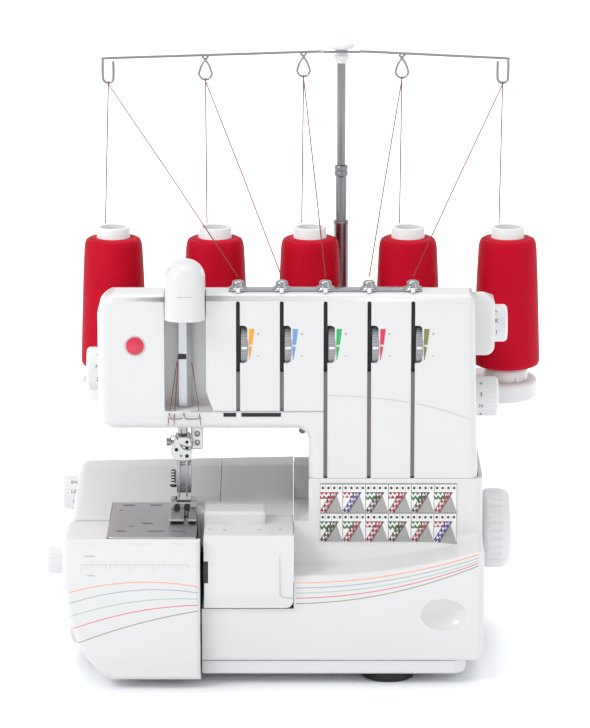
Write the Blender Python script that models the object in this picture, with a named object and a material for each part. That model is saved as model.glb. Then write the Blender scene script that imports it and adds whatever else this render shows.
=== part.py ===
"""Serger overlock machine: covers, frame, drive, needle and looper works, tension dials and thread stand.

Z up, X to the right as the user sees it, Y away from the user, origin on the floor under the middle.
Sizes are in millimetres and are scaled to metres when a mesh is made.
"""

import math

import bmesh
import bpy
from mathutils import Matrix, Vector

MM = 0.001
GAP = 0.3

# Overall layout
STAND_RIGHT = 195.5
FRONT, BACK = -140, 140
WALL = 3.0
BED_TOP = 118
HUMP_TOP = 130
HEAD_TOP = 294
HEAD_BOTTOM = 190
SEAM_Z = 152
BED_LEFT = -172
HEAD_LEFT = -149
COLUMN_LEFT = 10.5
COLUMN_RIGHT = 139
BODY_RIGHT = 143
HEAD_FRONT = -90
HEAD_BACK = 68
LOWER_FRONT = -130
MIDDLE_LEFT = -70.3

# Tension slots, thread guides and dials
SLOT_X = [-42.9 + 32.95 * i for i in range(5)]
SLOT_WIDTH = 3.0
DIAL_Z = 253.5
DIAL_RADIUS = 15
DIAL_Y = -77

# Needle and looper works
NEEDLE_X, NEEDLE_Y = -86, -57
PLATE_LEFT, PLATE_RIGHT = -141, -74.3
PLATE_FRONT, PLATE_BACK = -135, -35
PRESSER_Y = -40
FOOT_HINGE = (NEEDLE_X, -50, 121)
LIFTER_HINGE = (-60, HEAD_BACK, 210)

# Drive
SHAFT_Y, SHAFT_Z = 10, 85
SHAFT_PULLEY_RADIUS = 24
MOTOR_Y, MOTOR_Z = 50, 60
MOTOR_PULLEY_RADIUS = 7
HANDWHEEL_RADIUS = 31.5

# Thread stand
CONE_X = [-145, -63.8, 12, 90.2, 169.8]
CONE_Y = 100
TRAY_BOTTOM, TRAY_TOP = 169, 185
DISC_TOP = 195
MAST_X, MAST_Y = 37, 125
MAST_LOWER_TOP, MAST_MIDDLE_TOP, MAST_TOP = 309, 354, 454
LOOP_X = [-147.7, -71, 6.8, 84.9, 164.3]
GUIDE_Z = 447
LOOP_DROP = 21


def material(name, colour, roughness, metallic=0.0):
    made = bpy.data.materials.new(name)
    made.use_nodes = True
    shader = made.node_tree.nodes["Principled BSDF"]
    shader.inputs["Base Color"].default_value = (*colour, 1)
    shader.inputs["Roughness"].default_value = roughness
    shader.inputs["Metallic"].default_value = metallic
    return made


def clear_scene():
    for obj in list(bpy.data.objects):
        bpy.data.objects.remove(obj)


# ---------------------------------------------------------------- shape tools


def rounded(points, arc_steps=4):
    """An outline whose corners (a, b, radius) are turned into arcs."""
    outline = []
    count = len(points)
    for i, (a, b, *rest) in enumerate(points):
        radius = rest[0] if rest else 0
        corner = Vector((a, b))
        if radius <= 0:
            outline.append(corner)
            continue
        before = (Vector(points[i - 1][:2]) - corner).normalized()
        after = (Vector(points[(i + 1) % count][:2]) - corner).normalized()
        half = before.angle(after) / 2
        reach = radius / math.tan(half)
        start, end = corner + before * reach, corner + after * reach
        centre = corner + (before + after).normalized() * (radius / math.sin(half))
        sweep = (start - centre).angle_signed(end - centre)
        for step in range(arc_steps + 1):
            turn = Matrix.Rotation(-sweep * step / arc_steps, 2)
            outline.append(centre + turn @ (start - centre))
    return outline


def place(axis, a, b, along):
    """A point from its two outline coordinates and its height along the axis."""
    return {"x": (along, a, b), "y": (a, along, b), "z": (a, b, along)}[axis]


def prism(outline, axis, low, high):
    mesh = bmesh.new()
    rings = [[mesh.verts.new(place(axis, p[0], p[1], h)) for p in outline] for h in (low, high)]
    count = len(outline)
    mesh.faces.new(rings[0])
    mesh.faces.new(rings[1])
    for i in range(count):
        j = (i + 1) % count
        mesh.faces.new((rings[0][i], rings[0][j], rings[1][j], rings[1][i]))
    bmesh.ops.recalc_face_normals(mesh, faces=mesh.faces)
    return mesh


def block(x, y, z):
    corners = [(x[0], y[0]), (x[1], y[0]), (x[1], y[1]), (x[0], y[1])]
    return prism(corners, "z", *z)


def turned(profile, axis, centre, steps=24):
    """A closed profile of (radius, height) points, turned about an axis through the centre."""
    mesh = bmesh.new()
    rings = []
    for radius, height in profile:
        if radius == 0:
            rings.append([mesh.verts.new(place(axis, 0, 0, height))])
            continue
        angles = [2 * math.pi * k / steps for k in range(steps)]
        points = [place(axis, radius * math.cos(a), radius * math.sin(a), height) for a in angles]
        rings.append([mesh.verts.new(p) for p in points])
    count = len(rings)
    for i in range(count):
        one, two = rings[i], rings[(i + 1) % count]
        if len(one) == 1 and len(two) == 1:
            continue
        for k in range(steps):
            n = (k + 1) % steps
            loop = [one[k % len(one)], one[n % len(one)], two[n % len(two)], two[k % len(two)]]
            mesh.faces.new(list(dict.fromkeys(loop)))
    bmesh.ops.translate(mesh, verts=mesh.verts, vec=centre)
    bmesh.ops.recalc_face_normals(mesh, faces=mesh.faces)
    return mesh


def tube(path, radius, sides=8, ring=False):
    """A round wire along a path; a ring joins its end to its start."""
    mesh = bmesh.new()
    points = [Vector(p) for p in path]
    count = len(points)
    rings = []
    side = None
    for i, point in enumerate(points):
        before = points[i - 1] if i or ring else point
        after = points[(i + 1) % count] if i < count - 1 or ring else point
        heading = (after - before).normalized()
        if side is None:
            side = heading.orthogonal().normalized()
        side = (side - heading * side.dot(heading)).normalized()
        up = heading.cross(side)
        angles = [2 * math.pi * k / sides for k in range(sides)]
        ring_points = [point + radius * (side * math.cos(a) + up * math.sin(a)) for a in angles]
        rings.append([mesh.verts.new(p) for p in ring_points])
    for i in range(count if ring else count - 1):
        one, two = rings[i], rings[(i + 1) % count]
        for k in range(sides):
            n = (k + 1) % sides
            mesh.faces.new((one[k], one[n], two[n], two[k]))
    if not ring:
        mesh.faces.new(rings[0])
        mesh.faces.new(rings[-1])
    bmesh.ops.recalc_face_normals(mesh, faces=mesh.faces)
    return mesh


def arc(centre, radius, start, end, steps):
    """Points of an arc, with angles in degrees."""
    angles = [math.radians(start + (end - start) * k / steps) for k in range(steps + 1)]
    return [(centre[0] + radius * math.cos(a), centre[1] + radius * math.sin(a)) for a in angles]


def add(name, mesh, finish, pivot=(0, 0, 0)):
    """Makes the object, in metres, with its origin on the pivot of its joint."""
    bmesh.ops.translate(mesh, verts=mesh.verts, vec=-Vector(pivot))
    bmesh.ops.scale(mesh, verts=mesh.verts, vec=(MM, MM, MM))
    data = bpy.data.meshes.new(name)
    mesh.to_mesh(data)
    mesh.free()
    data.materials.append(finish)
    data.shade_smooth()
    data.set_sharp_from_angle(angle=math.radians(35))
    obj = bpy.data.objects.new(name, data)
    obj.location = Vector(pivot) * MM
    bpy.context.scene.collection.objects.link(obj)
    return obj


def helper(mesh):
    """A cutter: hidden from renders, and never a piece of the machine."""
    obj = add("cutter", mesh, MATERIALS["cast"])
    obj.hide_render = True
    obj.display_type = "WIRE"
    return obj


def combine(obj, meshes, operation):
    for mesh in meshes:
        change = obj.modifiers.new(operation.lower(), "BOOLEAN")
        change.operation = operation
        change.solver = "EXACT"
        change.object = helper(mesh)


def cut(obj, *meshes):
    combine(obj, meshes, "DIFFERENCE")


def unite(obj, *meshes):
    combine(obj, meshes, "UNION")


def shaped(obj, *meshes):
    """Keeps only what also lies inside each of the meshes."""
    combine(obj, meshes, "INTERSECT")


# ---------------------------------------------------------------- covers and base


def base_pan():
    pan = [(MIDDLE_LEFT, -127), (130, -127, 12), (130, 78, 12), (-165, 78, 12), (-165, -84, 8)]
    pan.append((MIDDLE_LEFT, -84))
    obj = add("base_pan", prism(rounded(pan), "z", 8, 18.7), MATERIALS["white"])
    inside = [(-65, -124), (127, -124, 9), (127, 75, 9), (-162, 75, 9), (-162, -81, 5), (-65, -81)]
    cut(obj, prism(rounded(inside), "z", 11, 30))


def feet():
    places = {"front_left": (-138, -56), "front_right": (71, -103)}
    places |= {"rear_left": (-138, 50), "rear_right": (104, 50)}
    for name, (x, y) in places.items():
        profile = [(0, 0), (18, 0), (20, 2), (20, 8 - GAP), (0, 8 - GAP)]
        add("foot_" + name, turned(profile, "z", (x, y, 0), 20), MATERIALS["rubber"])


def main_cover():
    right = [(COLUMN_RIGHT, SEAM_Z - GAP), (BODY_RIGHT - 0.5, 80), (BODY_RIGHT, 19)]
    outline = [(-1, 19), (-1, SEAM_Z - GAP)] + right
    obj = add("main_cover", prism(outline, "y", LOWER_FRONT - 5, 76), MATERIALS["white"])
    side = [(LOWER_FRONT, 10), (LOWER_FRONT, 84, 14), (-93, 107, 10), (-90, 122), (-90, 170)]
    side += [(76, 170), (76, 10)]
    shaped(obj, prism(rounded(side), "x", -10, BODY_RIGHT + 5))
    apron = [(MIDDLE_LEFT, 19), (-0.5, 19), (-0.5, 61 - GAP), (MIDDLE_LEFT, 61 - GAP)]
    unite(obj, prism(apron, "y", LOWER_FRONT, -90))
    inner = [(2, 10), (2, BED_TOP - 3), (14, BED_TOP - 3), (14, 160), (COLUMN_RIGHT - 3, 160)]
    inner += [(COLUMN_RIGHT - 3, SEAM_Z), (BODY_RIGHT - 3.5, 80), (BODY_RIGHT - 3, 10)]
    hollow = helper(prism(inner, "y", LOWER_FRONT - 5, 90))
    inner_side = [(LOWER_FRONT + 3, 5), (LOWER_FRONT + 3, 83, 12), (-91, 104, 10), (-87, 122)]
    inner_side += [(-87, 175), (95, 175), (95, 5)]
    shaped(hollow, prism(rounded(inner_side), "x", -10, BODY_RIGHT + 5))
    change = obj.modifiers.new("hollow", "BOOLEAN")
    change.object = hollow
    open_left = block((-5, 15), (-87, 90), (5, BED_TOP - 3))
    under_apron = block((MIDDLE_LEFT + WALL, 15), (-127, -80), (5, 61 - GAP - WALL))
    shaft_hole = turned([(0, -8), (8, -8), (8, 8), (0, 8)], "x", (BODY_RIGHT, SHAFT_Y, SHAFT_Z), 20)
    switch_hole = block((135, 150), (46.5, 73.5), (28.5, 45.5))
    above_bed = [(-140, BED_TOP), (-25, BED_TOP, 30), (30, HUMP_TOP, 40), (90, HUMP_TOP)]
    above_bed += [(90, 170), (-140, 170)]
    throat = prism(rounded(above_bed, 6), "x", -5, COLUMN_LEFT)
    cut(obj, throat, open_left, under_apron, shaft_hole, switch_hole)


def rear_cover():
    outline = [(-1, 19), (142, 19, 6), (138, 153, 6), (COLUMN_LEFT, 153), (COLUMN_LEFT, 114), (-1, 114)]
    obj = add("rear_cover", prism(rounded(outline), "y", 76 + GAP, 83), MATERIALS["white"])
    inside = [(2, 22), (139, 22, 4), (135, 150, 4), (COLUMN_LEFT + 3, 150), (COLUMN_LEFT + 3, 111)]
    inside.append((2, 111))
    cut(obj, prism(rounded(inside), "y", 70, 80))
    vents = [block((40 + 9 * i, 44 + 9 * i), (70, 90), (40, 70)) for i in range(7)]
    cut(obj, *vents)


def bed_covers():
    side = [(-95, 10), (-95, BED_TOP), (-25, BED_TOP, 30), (30, HUMP_TOP, 40), (80, HUMP_TOP, 24), (80, 10)]
    inner_side = [(-100, 5), (-100, BED_TOP - WALL), (-25, BED_TOP - WALL, 30), (30, HUMP_TOP - WALL, 40)]
    inner_side += [(77, HUMP_TOP - WALL, 21), (77, 5)]
    left = [(BED_LEFT, -85.7, 2), (PLATE_LEFT - GAP, -85.7), (PLATE_LEFT - GAP, PLATE_BACK + GAP)]
    left += [(-58.2, PLATE_BACK + GAP), (-58.2, 80), (BED_LEFT, 80, 26)]
    obj = add("bed_cover", prism(rounded(left, 6), "z", 19, HUMP_TOP + 5), MATERIALS["white"])
    shaped(obj, prism(rounded(side, 6), "x", -180, 20))
    inside = [(BED_LEFT + WALL, -82.7), (-144.5, -82.7), (-144.5, -31.5), (-50, -31.5), (-50, 77)]
    inside += [(BED_LEFT + WALL, 77, 23)]
    hollow = helper(prism(rounded(inside, 6), "z", 5, 150))
    shaped(hollow, prism(rounded(inner_side, 6), "x", -180, 20))
    obj.modifiers.new("hollow", "BOOLEAN").object = hollow
    cut(obj, block((-138, -50), (-40, -25), (30, 100)))

    right = [(-57.8, 80), (-1 - GAP, 80), (-1 - GAP, -74 + GAP), (-73.7, -74 + GAP)]
    right += [(-73.7, -34.7), (-57.8, -34.7)]
    obj = add("bed_rear_cover", prism(right, "z", 19, HUMP_TOP + 5), MATERIALS["white"])
    shaped(obj, prism(rounded(side, 6), "x", -180, 20))
    inside = [(-66, 77), (10, 77), (10, -70.7), (-70.7, -70.7), (-70.7, -37.7), (-66, -37.7)]
    hollow = helper(prism(inside, "z", 5, 150))
    shaped(hollow, prism(rounded(inner_side, 6), "x", -180, 20))
    obj.modifiers.new("hollow", "BOOLEAN").object = hollow
    cut(obj, block((-80, 10), (-80, -20), (5, 100)))


def head_outline(inset):
    """The head seen from the front: a bar over the bed with the upper column under its right end."""
    r = WALL if inset else 0
    low = SEAM_Z - (10 if inset else 0)
    left, bottom, top = HEAD_LEFT + r, HEAD_BOTTOM + r, HEAD_TOP - r
    outline = [(left, bottom, 12 - r), (COLUMN_LEFT + r, bottom, 10), (COLUMN_LEFT + r, low)]
    outline += [(COLUMN_RIGHT - r, low), (COLUMN_RIGHT - 4 - r, top, 6 - r), (HEAD_LEFT + 12, top, 5)]
    outline += [(left, HEAD_TOP - 13, 6)]
    return rounded(outline)


def head_side(inset):
    """The head seen from the right: a flat crest that slopes down to the back."""
    r = WALL if inset else 0
    points = [(HEAD_FRONT + r, 130), (HEAD_FRONT + r, HEAD_TOP - r, 8 - r), (-58, HEAD_TOP - r)]
    points += [(50, 256 - r, 20), (HEAD_BACK - r, 232, 10), (HEAD_BACK - r, 130)]
    return rounded(points)


def head_cover():
    obj = add("head_cover", prism(head_outline(False), "y", HEAD_FRONT, HEAD_BACK), MATERIALS["white"])
    housing = rounded([(125, 239.5), (152, 239.5, 7), (152, 300), (125, 300)])
    unite(obj, prism(housing, "y", -58, 24))
    shaped(obj, prism(head_side(False), "x", -160, 160))
    hollow = helper(prism(head_outline(True), "y", HEAD_FRONT, HEAD_BACK))
    shaped(hollow, prism(head_side(True), "x", -160, 145))
    cut(hollow, block((-101.6, -64), (-95, -65), (201, 300)))
    obj.modifiers.new("hollow", "BOOLEAN").object = hollow
    cut(obj, block((-98.6, -67), (-95, -68), (204, 300)))
    cut(obj, block((130, 149), (-41, 0), (242.5, 265)))
    for i, x in enumerate(SLOT_X):
        low = 204 if i < 2 else 145
        cut(obj, block((x - SLOT_WIDTH / 2, x + SLOT_WIDTH / 2), (-95, -85), (low, 289)))
        cut(obj, block((x, x + 8), (-95, -85), (240.5, 266.5)))
    bar_hole = turned([(0, 180), (5.5, 180), (5.5, 197), (0, 197)], "z", (NEEDLE_X, NEEDLE_Y, 0), 20)
    presser_hole = turned([(0, 180), (5, 180), (5, 197), (0, 197)], "z", (NEEDLE_X, PRESSER_Y, 0), 20)
    cut(obj, bar_hole, presser_hole)


def take_up_cover():
    centre = (-82.8, 304)
    dome = [(-98.3, 276), (-67.3, 276), (-68.3, 304)] + arc(centre, 14.5, 0, 180, 10)[1:-1] + [(-97.3, 304)]
    obj = add("take_up_cover", prism(dome, "y", -104, -68.3), MATERIALS["white"])
    side = [(-104, 270), (-104, 320, 16), (-68.3, 320, 14), (-68.3, 270)]
    shaped(obj, prism(rounded(side), "x", -110, -60))
    inner = [(-96.3, 270), (-69.3, 270), (-70.3, 304)] + arc(centre, 12.5, 0, 180, 10)[1:-1] + [(-95.3, 304)]
    hollow = helper(prism(inner, "y", -102, -70.3))
    inner_side = [(-102, 265), (-102, 317, 14), (-70.3, 317, 12), (-70.3, 265)]
    shaped(hollow, prism(rounded(inner_side), "x", -110, -60))
    obj.modifiers.new("hollow", "BOOLEAN").object = hollow


def face_plate():
    outline = rounded([(-89, 204.5), (-78, 204.5), (-78, 275, 2), (-89, 275, 2)])
    add("face_plate", prism(outline, "y", -78, -74), MATERIALS["aluminium"])


def cloth_plate():
    """The left front cover, which swings out about an upright hinge at its left rear corner."""
    pivot = (BED_LEFT - 1.5, -86.5, 62)
    corner = [Vector((-174.5, 88)), Vector((-171, 24)), Vector((-138, 7))]
    steps = [k / 8 for k in range(9)]
    curve = [(1 - t) ** 2 * corner[0] + 2 * t * (1 - t) * corner[1] + t * t * corner[2] for t in steps]
    outline = [(-71, 7), (-71, 117), (-174.5, 117)] + [tuple(p) for p in curve]
    obj = add("cloth_plate", prism(outline, "y", FRONT, -86.5), MATERIALS["white"], pivot)
    side = [(FRONT + 3, 0), (FRONT, 30), (FRONT, 120, 4), (-86, 120), (-86, 0)]
    shaped(obj, prism(rounded(side, 2), "x", -180, -60))
    inner = [(-60, 10), (-60, 114.5), (-171.6, 114.5)]
    inner += [(p.x + 2.9, p.y + 2.9 * (88 - p.y) / 81 + 0.5) for p in curve]
    cut(obj, prism(inner, "y", FRONT + 3, -80))
    cut(obj, block((PLATE_LEFT - GAP, -60), (PLATE_FRONT - GAP, -80), (105, 125)))


def looper_cover():
    """The cover in front of the loopers, hinged along its lower front edge."""
    pivot = (-35, LOWER_FRONT - 1, 64)
    outline = rounded([(-68.7, 62), (-1.3, 62, 6), (-1.3, BED_TOP, 2), (-68.7, BED_TOP)])
    obj = add("looper_cover", prism(outline, "y", -136, -74.3), MATERIALS["white"], pivot)
    side = [(-132, 60), (-135, 70), (-135, 95), (-132, 119, 5), (-74.3, 119), (-74.3, 60)]
    shaped(obj, prism(rounded(side), "x", -80, 10))
    lip = rounded([(-99, 116), (-99, 128, 3), (-74.3, 128, 3), (-74.3, 116)])
    unite(obj, prism(lip, "x", -68.7, -22))
    inner = [(-66.2, 50), (-3.8, 50), (-3.8, 115.5), (-66.2, 115.5)]
    hollow = helper(prism(inner, "y", -140, -60))
    inner_side = [(-129.5, 40), (-132.5, 70), (-132.5, 95), (-130, 115.5, 3), (-60, 115.5), (-60, 40)]
    shaped(hollow, prism(rounded(inner_side), "x", -80, 10))
    obj.modifiers.new("hollow", "BOOLEAN").object = hollow
    cut(obj, block((-75, -3.8), (-126, -70), (50, 108)))


# ---------------------------------------------------------------- needle, foot, knives and loopers


def needle_plate():
    outline = rounded([(PLATE_LEFT, PLATE_FRONT, 3), (PLATE_RIGHT, PLATE_FRONT), (PLATE_RIGHT, PLATE_BACK)])
    outline += [Vector((PLATE_LEFT, PLATE_BACK))]
    obj = add("needle_plate", prism(outline, "z", BED_TOP - 3, BED_TOP), MATERIALS["steel"])
    cut(obj, block((-92, -80), (-60, -54), (110, 125)))
    cut(obj, block((-96, -93), (-74, -46), (110, 125)), block((-79.5, -76.5), (-74, -46), (110, 125)))


def knives():
    add("lower_knife", block((-73.9, -71.8), (-88, -74.4), (92, BED_TOP - 0.2)), MATERIALS["steel"])
    outline = [(-88, 97), (-74.4, 97), (-74.4, 129), (-84, 129), (-88, 124)]
    obj = add("upper_knife", prism(outline, "x", -71.4, -69.2), MATERIALS["steel"])
    unite(obj, block((-73.8, -69.2), (-86, -75), (121.5, 129)))


def feed_dog():
    obj = add("feed_dog", block((-96.5, -76), (-73, -41), (107, 114.6)), MATERIALS["steel"])
    cut(obj, block((-92.5, -80), (-90, -47), (100, 120)))


def looper(name, pivot, y, reach, height, blade_tip):
    """A looper: a hub on its rocking shaft, an upright arm and a pointed blade."""
    x, _, z = pivot
    hub = arc((x, z), 6, 180, 360, 10)
    arm = [(x + 5, height - 7), (x + 5 + reach, blade_tip), (x + 4, height), (x - 6, height - 4)]
    add(name, prism(hub + arm, "y", *y), MATERIALS["chrome"], pivot)


def loopers():
    looper("lower_looper", (-118, -60, 70), (-61.2, -58.7), 19, 104, 103)
    looper("upper_looper", (-108, -64, 66), (-65.2, -62.7), 12, 92, 93)


def needle_bar_group():
    bar = [(0, 178.3), (3.5, 178.3), (4, 179.5), (4, 262), (3, 263), (0, 263)]
    add("needle_bar", turned(bar, "z", (NEEDLE_X, NEEDLE_Y, 0), 16), MATERIALS["chrome"])
    clamp = [(-98, 165, 3), (-93, 159, 2), (-80, 159, 2), (-78, 168, 2), (-80, 178, 2), (-93, 178, 3)]
    clamp = rounded(clamp, 3)
    obj = add("needle_clamp", prism(clamp, "y", -66, -48.5), MATERIALS["chrome"])
    cut(obj, block((-96.5, -95), (-70, -45), (150, 168)))
    needle = [(0, 126.5), (0.4, 129), (0.75, 133), (0.75, 147), (1.1, 149), (1.1, 158.7), (0, 158.7)]
    for name, x in (("needle_left", NEEDLE_X - 3), ("needle_right", NEEDLE_X + 3)):
        add(name, turned(needle, "z", (x, NEEDLE_Y, 0), 10), MATERIALS["chrome"])


def presser_group():
    bar = [(0, 145), (3.5, 145), (3.5, 255), (2.5, 256), (0, 256)]
    obj = add("presser_bar", turned(bar, "z", (NEEDLE_X, PRESSER_Y, 0), 16), MATERIALS["chrome"])
    unite(obj, block((-91, -80), (-45.5, -36), (128.6, 152)))
    y, z = FOOT_HINGE[1:]
    side = [(-100, 121.5), (-97, BED_TOP + 0.4), (y - 3, BED_TOP + 0.4), (y, z - 1.5), (y, 128)]
    side += [(-66, 128), (-70, 124), (-100, 123)]
    foot = add("presser_foot", prism(side, "x", -95.5, -75), MATERIALS["steel"], FOOT_HINGE)
    cut(foot, block((-92, -80), (-61.5, -52.5), (110, 135)))
    cut(foot, block((-84, -81), (-105, -80), (110, 135)))


def presser_lifter():
    x, y, z = LIFTER_HINGE
    hub = arc((x, z), 6, -90, 90, 8)
    lever = [(-96, 207), (-99, 203), (-96, 198)]
    add("presser_lifter", prism(hub + lever, "y", y + GAP, y + 4.5), MATERIALS["white"], LIFTER_HINGE)


# ---------------------------------------------------------------- frame and drive


def frame_casting():
    outline = [(-150, 22), (112, 22), (112, 34), (36, 34), (36, 196), (30, 222), (-60, 222)]
    outline += [(-60, 207), (16, 207)]
    outline += [(16, 34), (-150, 34)]
    obj = add("frame_casting", prism(outline, "y", -14, 34), MATERIALS["cast"])
    bearing = turned([(0, 10), (5.4, 10), (5.4, 42), (0, 42)], "x", (0, SHAFT_Y, SHAFT_Z), 20)
    cut(obj, bearing, block((20, 32), (-20, 26), (105, 180)))


def drive():
    pivot = (0, SHAFT_Y, SHAFT_Z)
    r = SHAFT_PULLEY_RADIUS
    profile = [(0, -40), (5, -40), (5, 113), (r, 113), (r, 121), (5, 121), (5, 144.7), (0, 144.7)]
    add("main_shaft", turned(profile, "x", pivot, 24), MATERIALS["steel"], pivot)
    wheel = HANDWHEEL_RADIUS
    profile = [(0, 145), (wheel - 6, 145), (wheel - 0.5, 149), (wheel, 154), (wheel - 1.5, 166)]
    profile.append((wheel - 6, 169))
    profile += [(wheel - 10, 168), (0, 167)]
    add("handwheel", turned(profile, "x", pivot, 32), MATERIALS["white"], pivot)
    pivot = (0, MOTOR_Y, MOTOR_Z)
    profile = [(0, 44), (21, 44), (24, 47), (24, 102), (21, 105), (0, 105)]
    add("motor", turned(profile, "x", pivot, 24), MATERIALS["black"])
    profile = [(0, 105.5), (3, 105.5), (3, 113), (7, 113), (7, 121), (3, 121), (3, 123), (0, 123)]
    add("motor_pulley", turned(profile, "x", pivot, 20), MATERIALS["steel"], pivot)
    drive_belt()


def belt_outline(extra):
    """The belt's loop round both pulleys, seen along the shafts."""
    big, small = SHAFT_PULLEY_RADIUS + GAP + extra, MOTOR_PULLEY_RADIUS + GAP + extra
    across, down = MOTOR_Y - SHAFT_Y, MOTOR_Z - SHAFT_Z
    heading = math.degrees(math.atan2(down, across))
    lean = math.degrees(math.acos((big - small) / math.hypot(across, down)))
    points = arc((SHAFT_Y, SHAFT_Z), big, heading + lean, heading + 360 - lean, 20)
    return points + arc((MOTOR_Y, MOTOR_Z), small, heading - lean, heading + lean, 8)


def drive_belt():
    obj = add("drive_belt", prism(belt_outline(1.5), "x", 114, 120), MATERIALS["rubber"])
    cut(obj, prism(belt_outline(0), "x", 110, 125))


# ---------------------------------------------------------------- dials and switch


def dial(name, low, high, y, z, radius, finish="white", steps=24):
    """A dial turned about X, standing out from low to high."""
    pivot = (low, y, z)
    edge = math.copysign(1.5, high - low)
    profile = [(0, 0), (radius, 0), (radius, high - low - edge), (radius - 1.5, high - low), (0, high - low)]
    add(name, turned(profile, "x", pivot, steps), MATERIALS[finish], pivot)


def dials():
    for i, x in enumerate(SLOT_X):
        dial("tension_dial_%d" % (i + 1), x + 2.2, x + 7.4, DIAL_Y, DIAL_Z, DIAL_RADIUS, "grey")
    dial("pattern_dial", 152.3, 163.5, -15, 256, 14.5)
    dial("stitch_length_dial", 139.3, 157, -20, 199, 15.5)
    dial("foot_pressure_dial", HEAD_LEFT - GAP, -161, -12, 219, 17)
    dial("differential_dial", BED_LEFT - GAP, -184.7, 42, 105, 13.5)
    dial("cutting_width_dial", BED_LEFT - GAP, -190.5, -72, 82, 10.5)


def power_switch():
    outline = rounded([(48, 30), (72, 30), (72, 44), (48, 44)])
    pivot = (142, 60, 37)
    add("power_switch", prism(outline, "x", 141, 147), MATERIALS["grey"], pivot)


# ---------------------------------------------------------------- thread stand


def spool_stand():
    reach = (BACK - 75) / 2
    outline = arc((STAND_RIGHT - reach, 75 + reach), reach, -90, 90, 10)
    outline += arc((-172 + reach, 75 + reach), reach, 90, 270, 10)
    obj = add("spool_stand", prism(outline, "z", TRAY_BOTTOM, TRAY_TOP), MATERIALS["white"])
    reach -= WALL
    inside = arc((STAND_RIGHT - reach - WALL, 75 + reach + WALL), reach, -90, 90, 10)
    inside += arc((-172 + reach + WALL, 75 + reach + WALL), reach, 90, 270, 10)
    cut(obj, prism(inside, "z", 160, TRAY_TOP - WALL))
    profile = [(0, TRAY_TOP - 1), (17.5, TRAY_TOP - 1), (17.5, DISC_TOP), (3.5, DISC_TOP), (3, 285), (0, 287)]
    unite(obj, *[turned(profile, "z", (x, CONE_Y, 0), 20) for x in CONE_X])
    bracket = [(83.3, 60), (92, 60), (96, 120), (112, 160), (112, TRAY_TOP - 1), (83.3, TRAY_TOP - 1)]
    unite(obj, prism(bracket, "x", 12, 62))


def thread_cones():
    profile = [(9, DISC_TOP + GAP), (24.5, DISC_TOP + GAP), (26.8, 201), (26.5, 209), (23.4, 292), (21, 300)]
    profile += [(13.2, 300.5), (13.2, 309), (9, 309)]
    for i, x in enumerate(CONE_X):
        add("thread_cone_%d" % (i + 1), turned(profile, "z", (x, CONE_Y, 0), 24), MATERIALS["thread"])


def mast():
    centre = (MAST_X, MAST_Y, 0)
    lower = [(4.9, TRAY_TOP + GAP), (8, TRAY_TOP + GAP), (8, 192), (6, 194)]
    lower += [(6, MAST_LOWER_TOP), (4.9, MAST_LOWER_TOP)]
    add("mast_lower", turned(lower, "z", centre, 16), MATERIALS["chrome"])
    middle = [(3.9, 265), (4.5, 265), (4.5, 346), (5.4, 346.5)]
    middle += [(5.4, MAST_MIDDLE_TOP), (3.9, MAST_MIDDLE_TOP)]
    add("mast_middle", turned(middle, "z", centre, 16), MATERIALS["chrome"])
    upper = [(0, 290), (3.5, 290), (3.5, 437), (5, 439), (6.2, 442), (5, 444), (5, 448.5), (10.5, 449.5)]
    upper += [(10.5, 452), (8, MAST_TOP), (0, MAST_TOP)]
    add("mast_upper", turned(upper, "z", centre, 20), MATERIALS["white"])


def guide_point(x):
    """A point on the guide wire's centre line above X, with the bends round the mast cap."""
    bend = 20
    away = max(0.0, abs(x - MAST_X) - bend)
    arm = (LOOP_X[4] - MAST_X - bend) if x > MAST_X else (MAST_X - bend - LOOP_X[0])
    t = away / arm
    return Vector((x, 118.2 - 18 * t, GUIDE_Z - 2.5 * t))


def loop_ring(x, wide):
    """The centre line of one thread eyelet hanging under the guide wire."""
    top = guide_point(x)
    half = 4.2
    points = []
    for k in range(16):
        a = 2 * math.pi * k / 16
        points.append((x + half * math.sin(a) * wide, top.y, top.z + LOOP_DROP / 2 * (math.cos(a) - 1)))
    return points


def guide_bar():
    xs = [*LOOP_X[:3], MAST_X - 20, MAST_X - 12, MAST_X + 12, MAST_X + 20, *LOOP_X[3:]]
    path = [guide_point(x) for x in xs]
    path[4].y -= 1.5
    path[5].y -= 1.5
    obj = add("guide_bar", tube(path, 1.3, 8), MATERIALS["chrome"])
    unite(obj, *[tube(loop_ring(x, 1.0), 1.0, 8, ring=True) for x in LOOP_X])


def threads():
    for i, (cone, loop, slot) in enumerate(zip(CONE_X, LOOP_X, SLOT_X)):
        eye = guide_point(loop) - Vector((0, 0, LOOP_DROP - 2.2))
        start = Vector((cone + (11 if cone < loop else -11) * 0.6, CONE_Y + 9, 309.8))
        path = [start, eye + Vector((0, 1.5, -1.5)), eye + Vector((0, 0, 0.3)), eye + Vector((0, -1.5, -1.5))]
        path.append(Vector((slot, -72, 304)))
        add("thread_%d" % (i + 1), tube(path, 0.4, 6), MATERIALS["thread"])


def thread_guides():
    """The chrome pretension guides on the crest, on one strip along the top of the head."""
    strip = block((SLOT_X[0] - 7, SLOT_X[4] + 7), (-76, -68), (HEAD_TOP + GAP, HEAD_TOP + 1.5))
    obj = add("thread_guides", strip, MATERIALS["chrome"])
    profile = [(0, HEAD_TOP + 0.6), (6.7, HEAD_TOP + 0.6), (6.7, HEAD_TOP + 2.5), (5.5, HEAD_TOP + 4)]
    profile.append((4.4, HEAD_TOP + 7))
    profile += [(2.5, HEAD_TOP + 8), (0, HEAD_TOP + 8)]
    unite(obj, *[turned(profile, "z", (x, -72, 0), 16) for x in SLOT_X])


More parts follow.
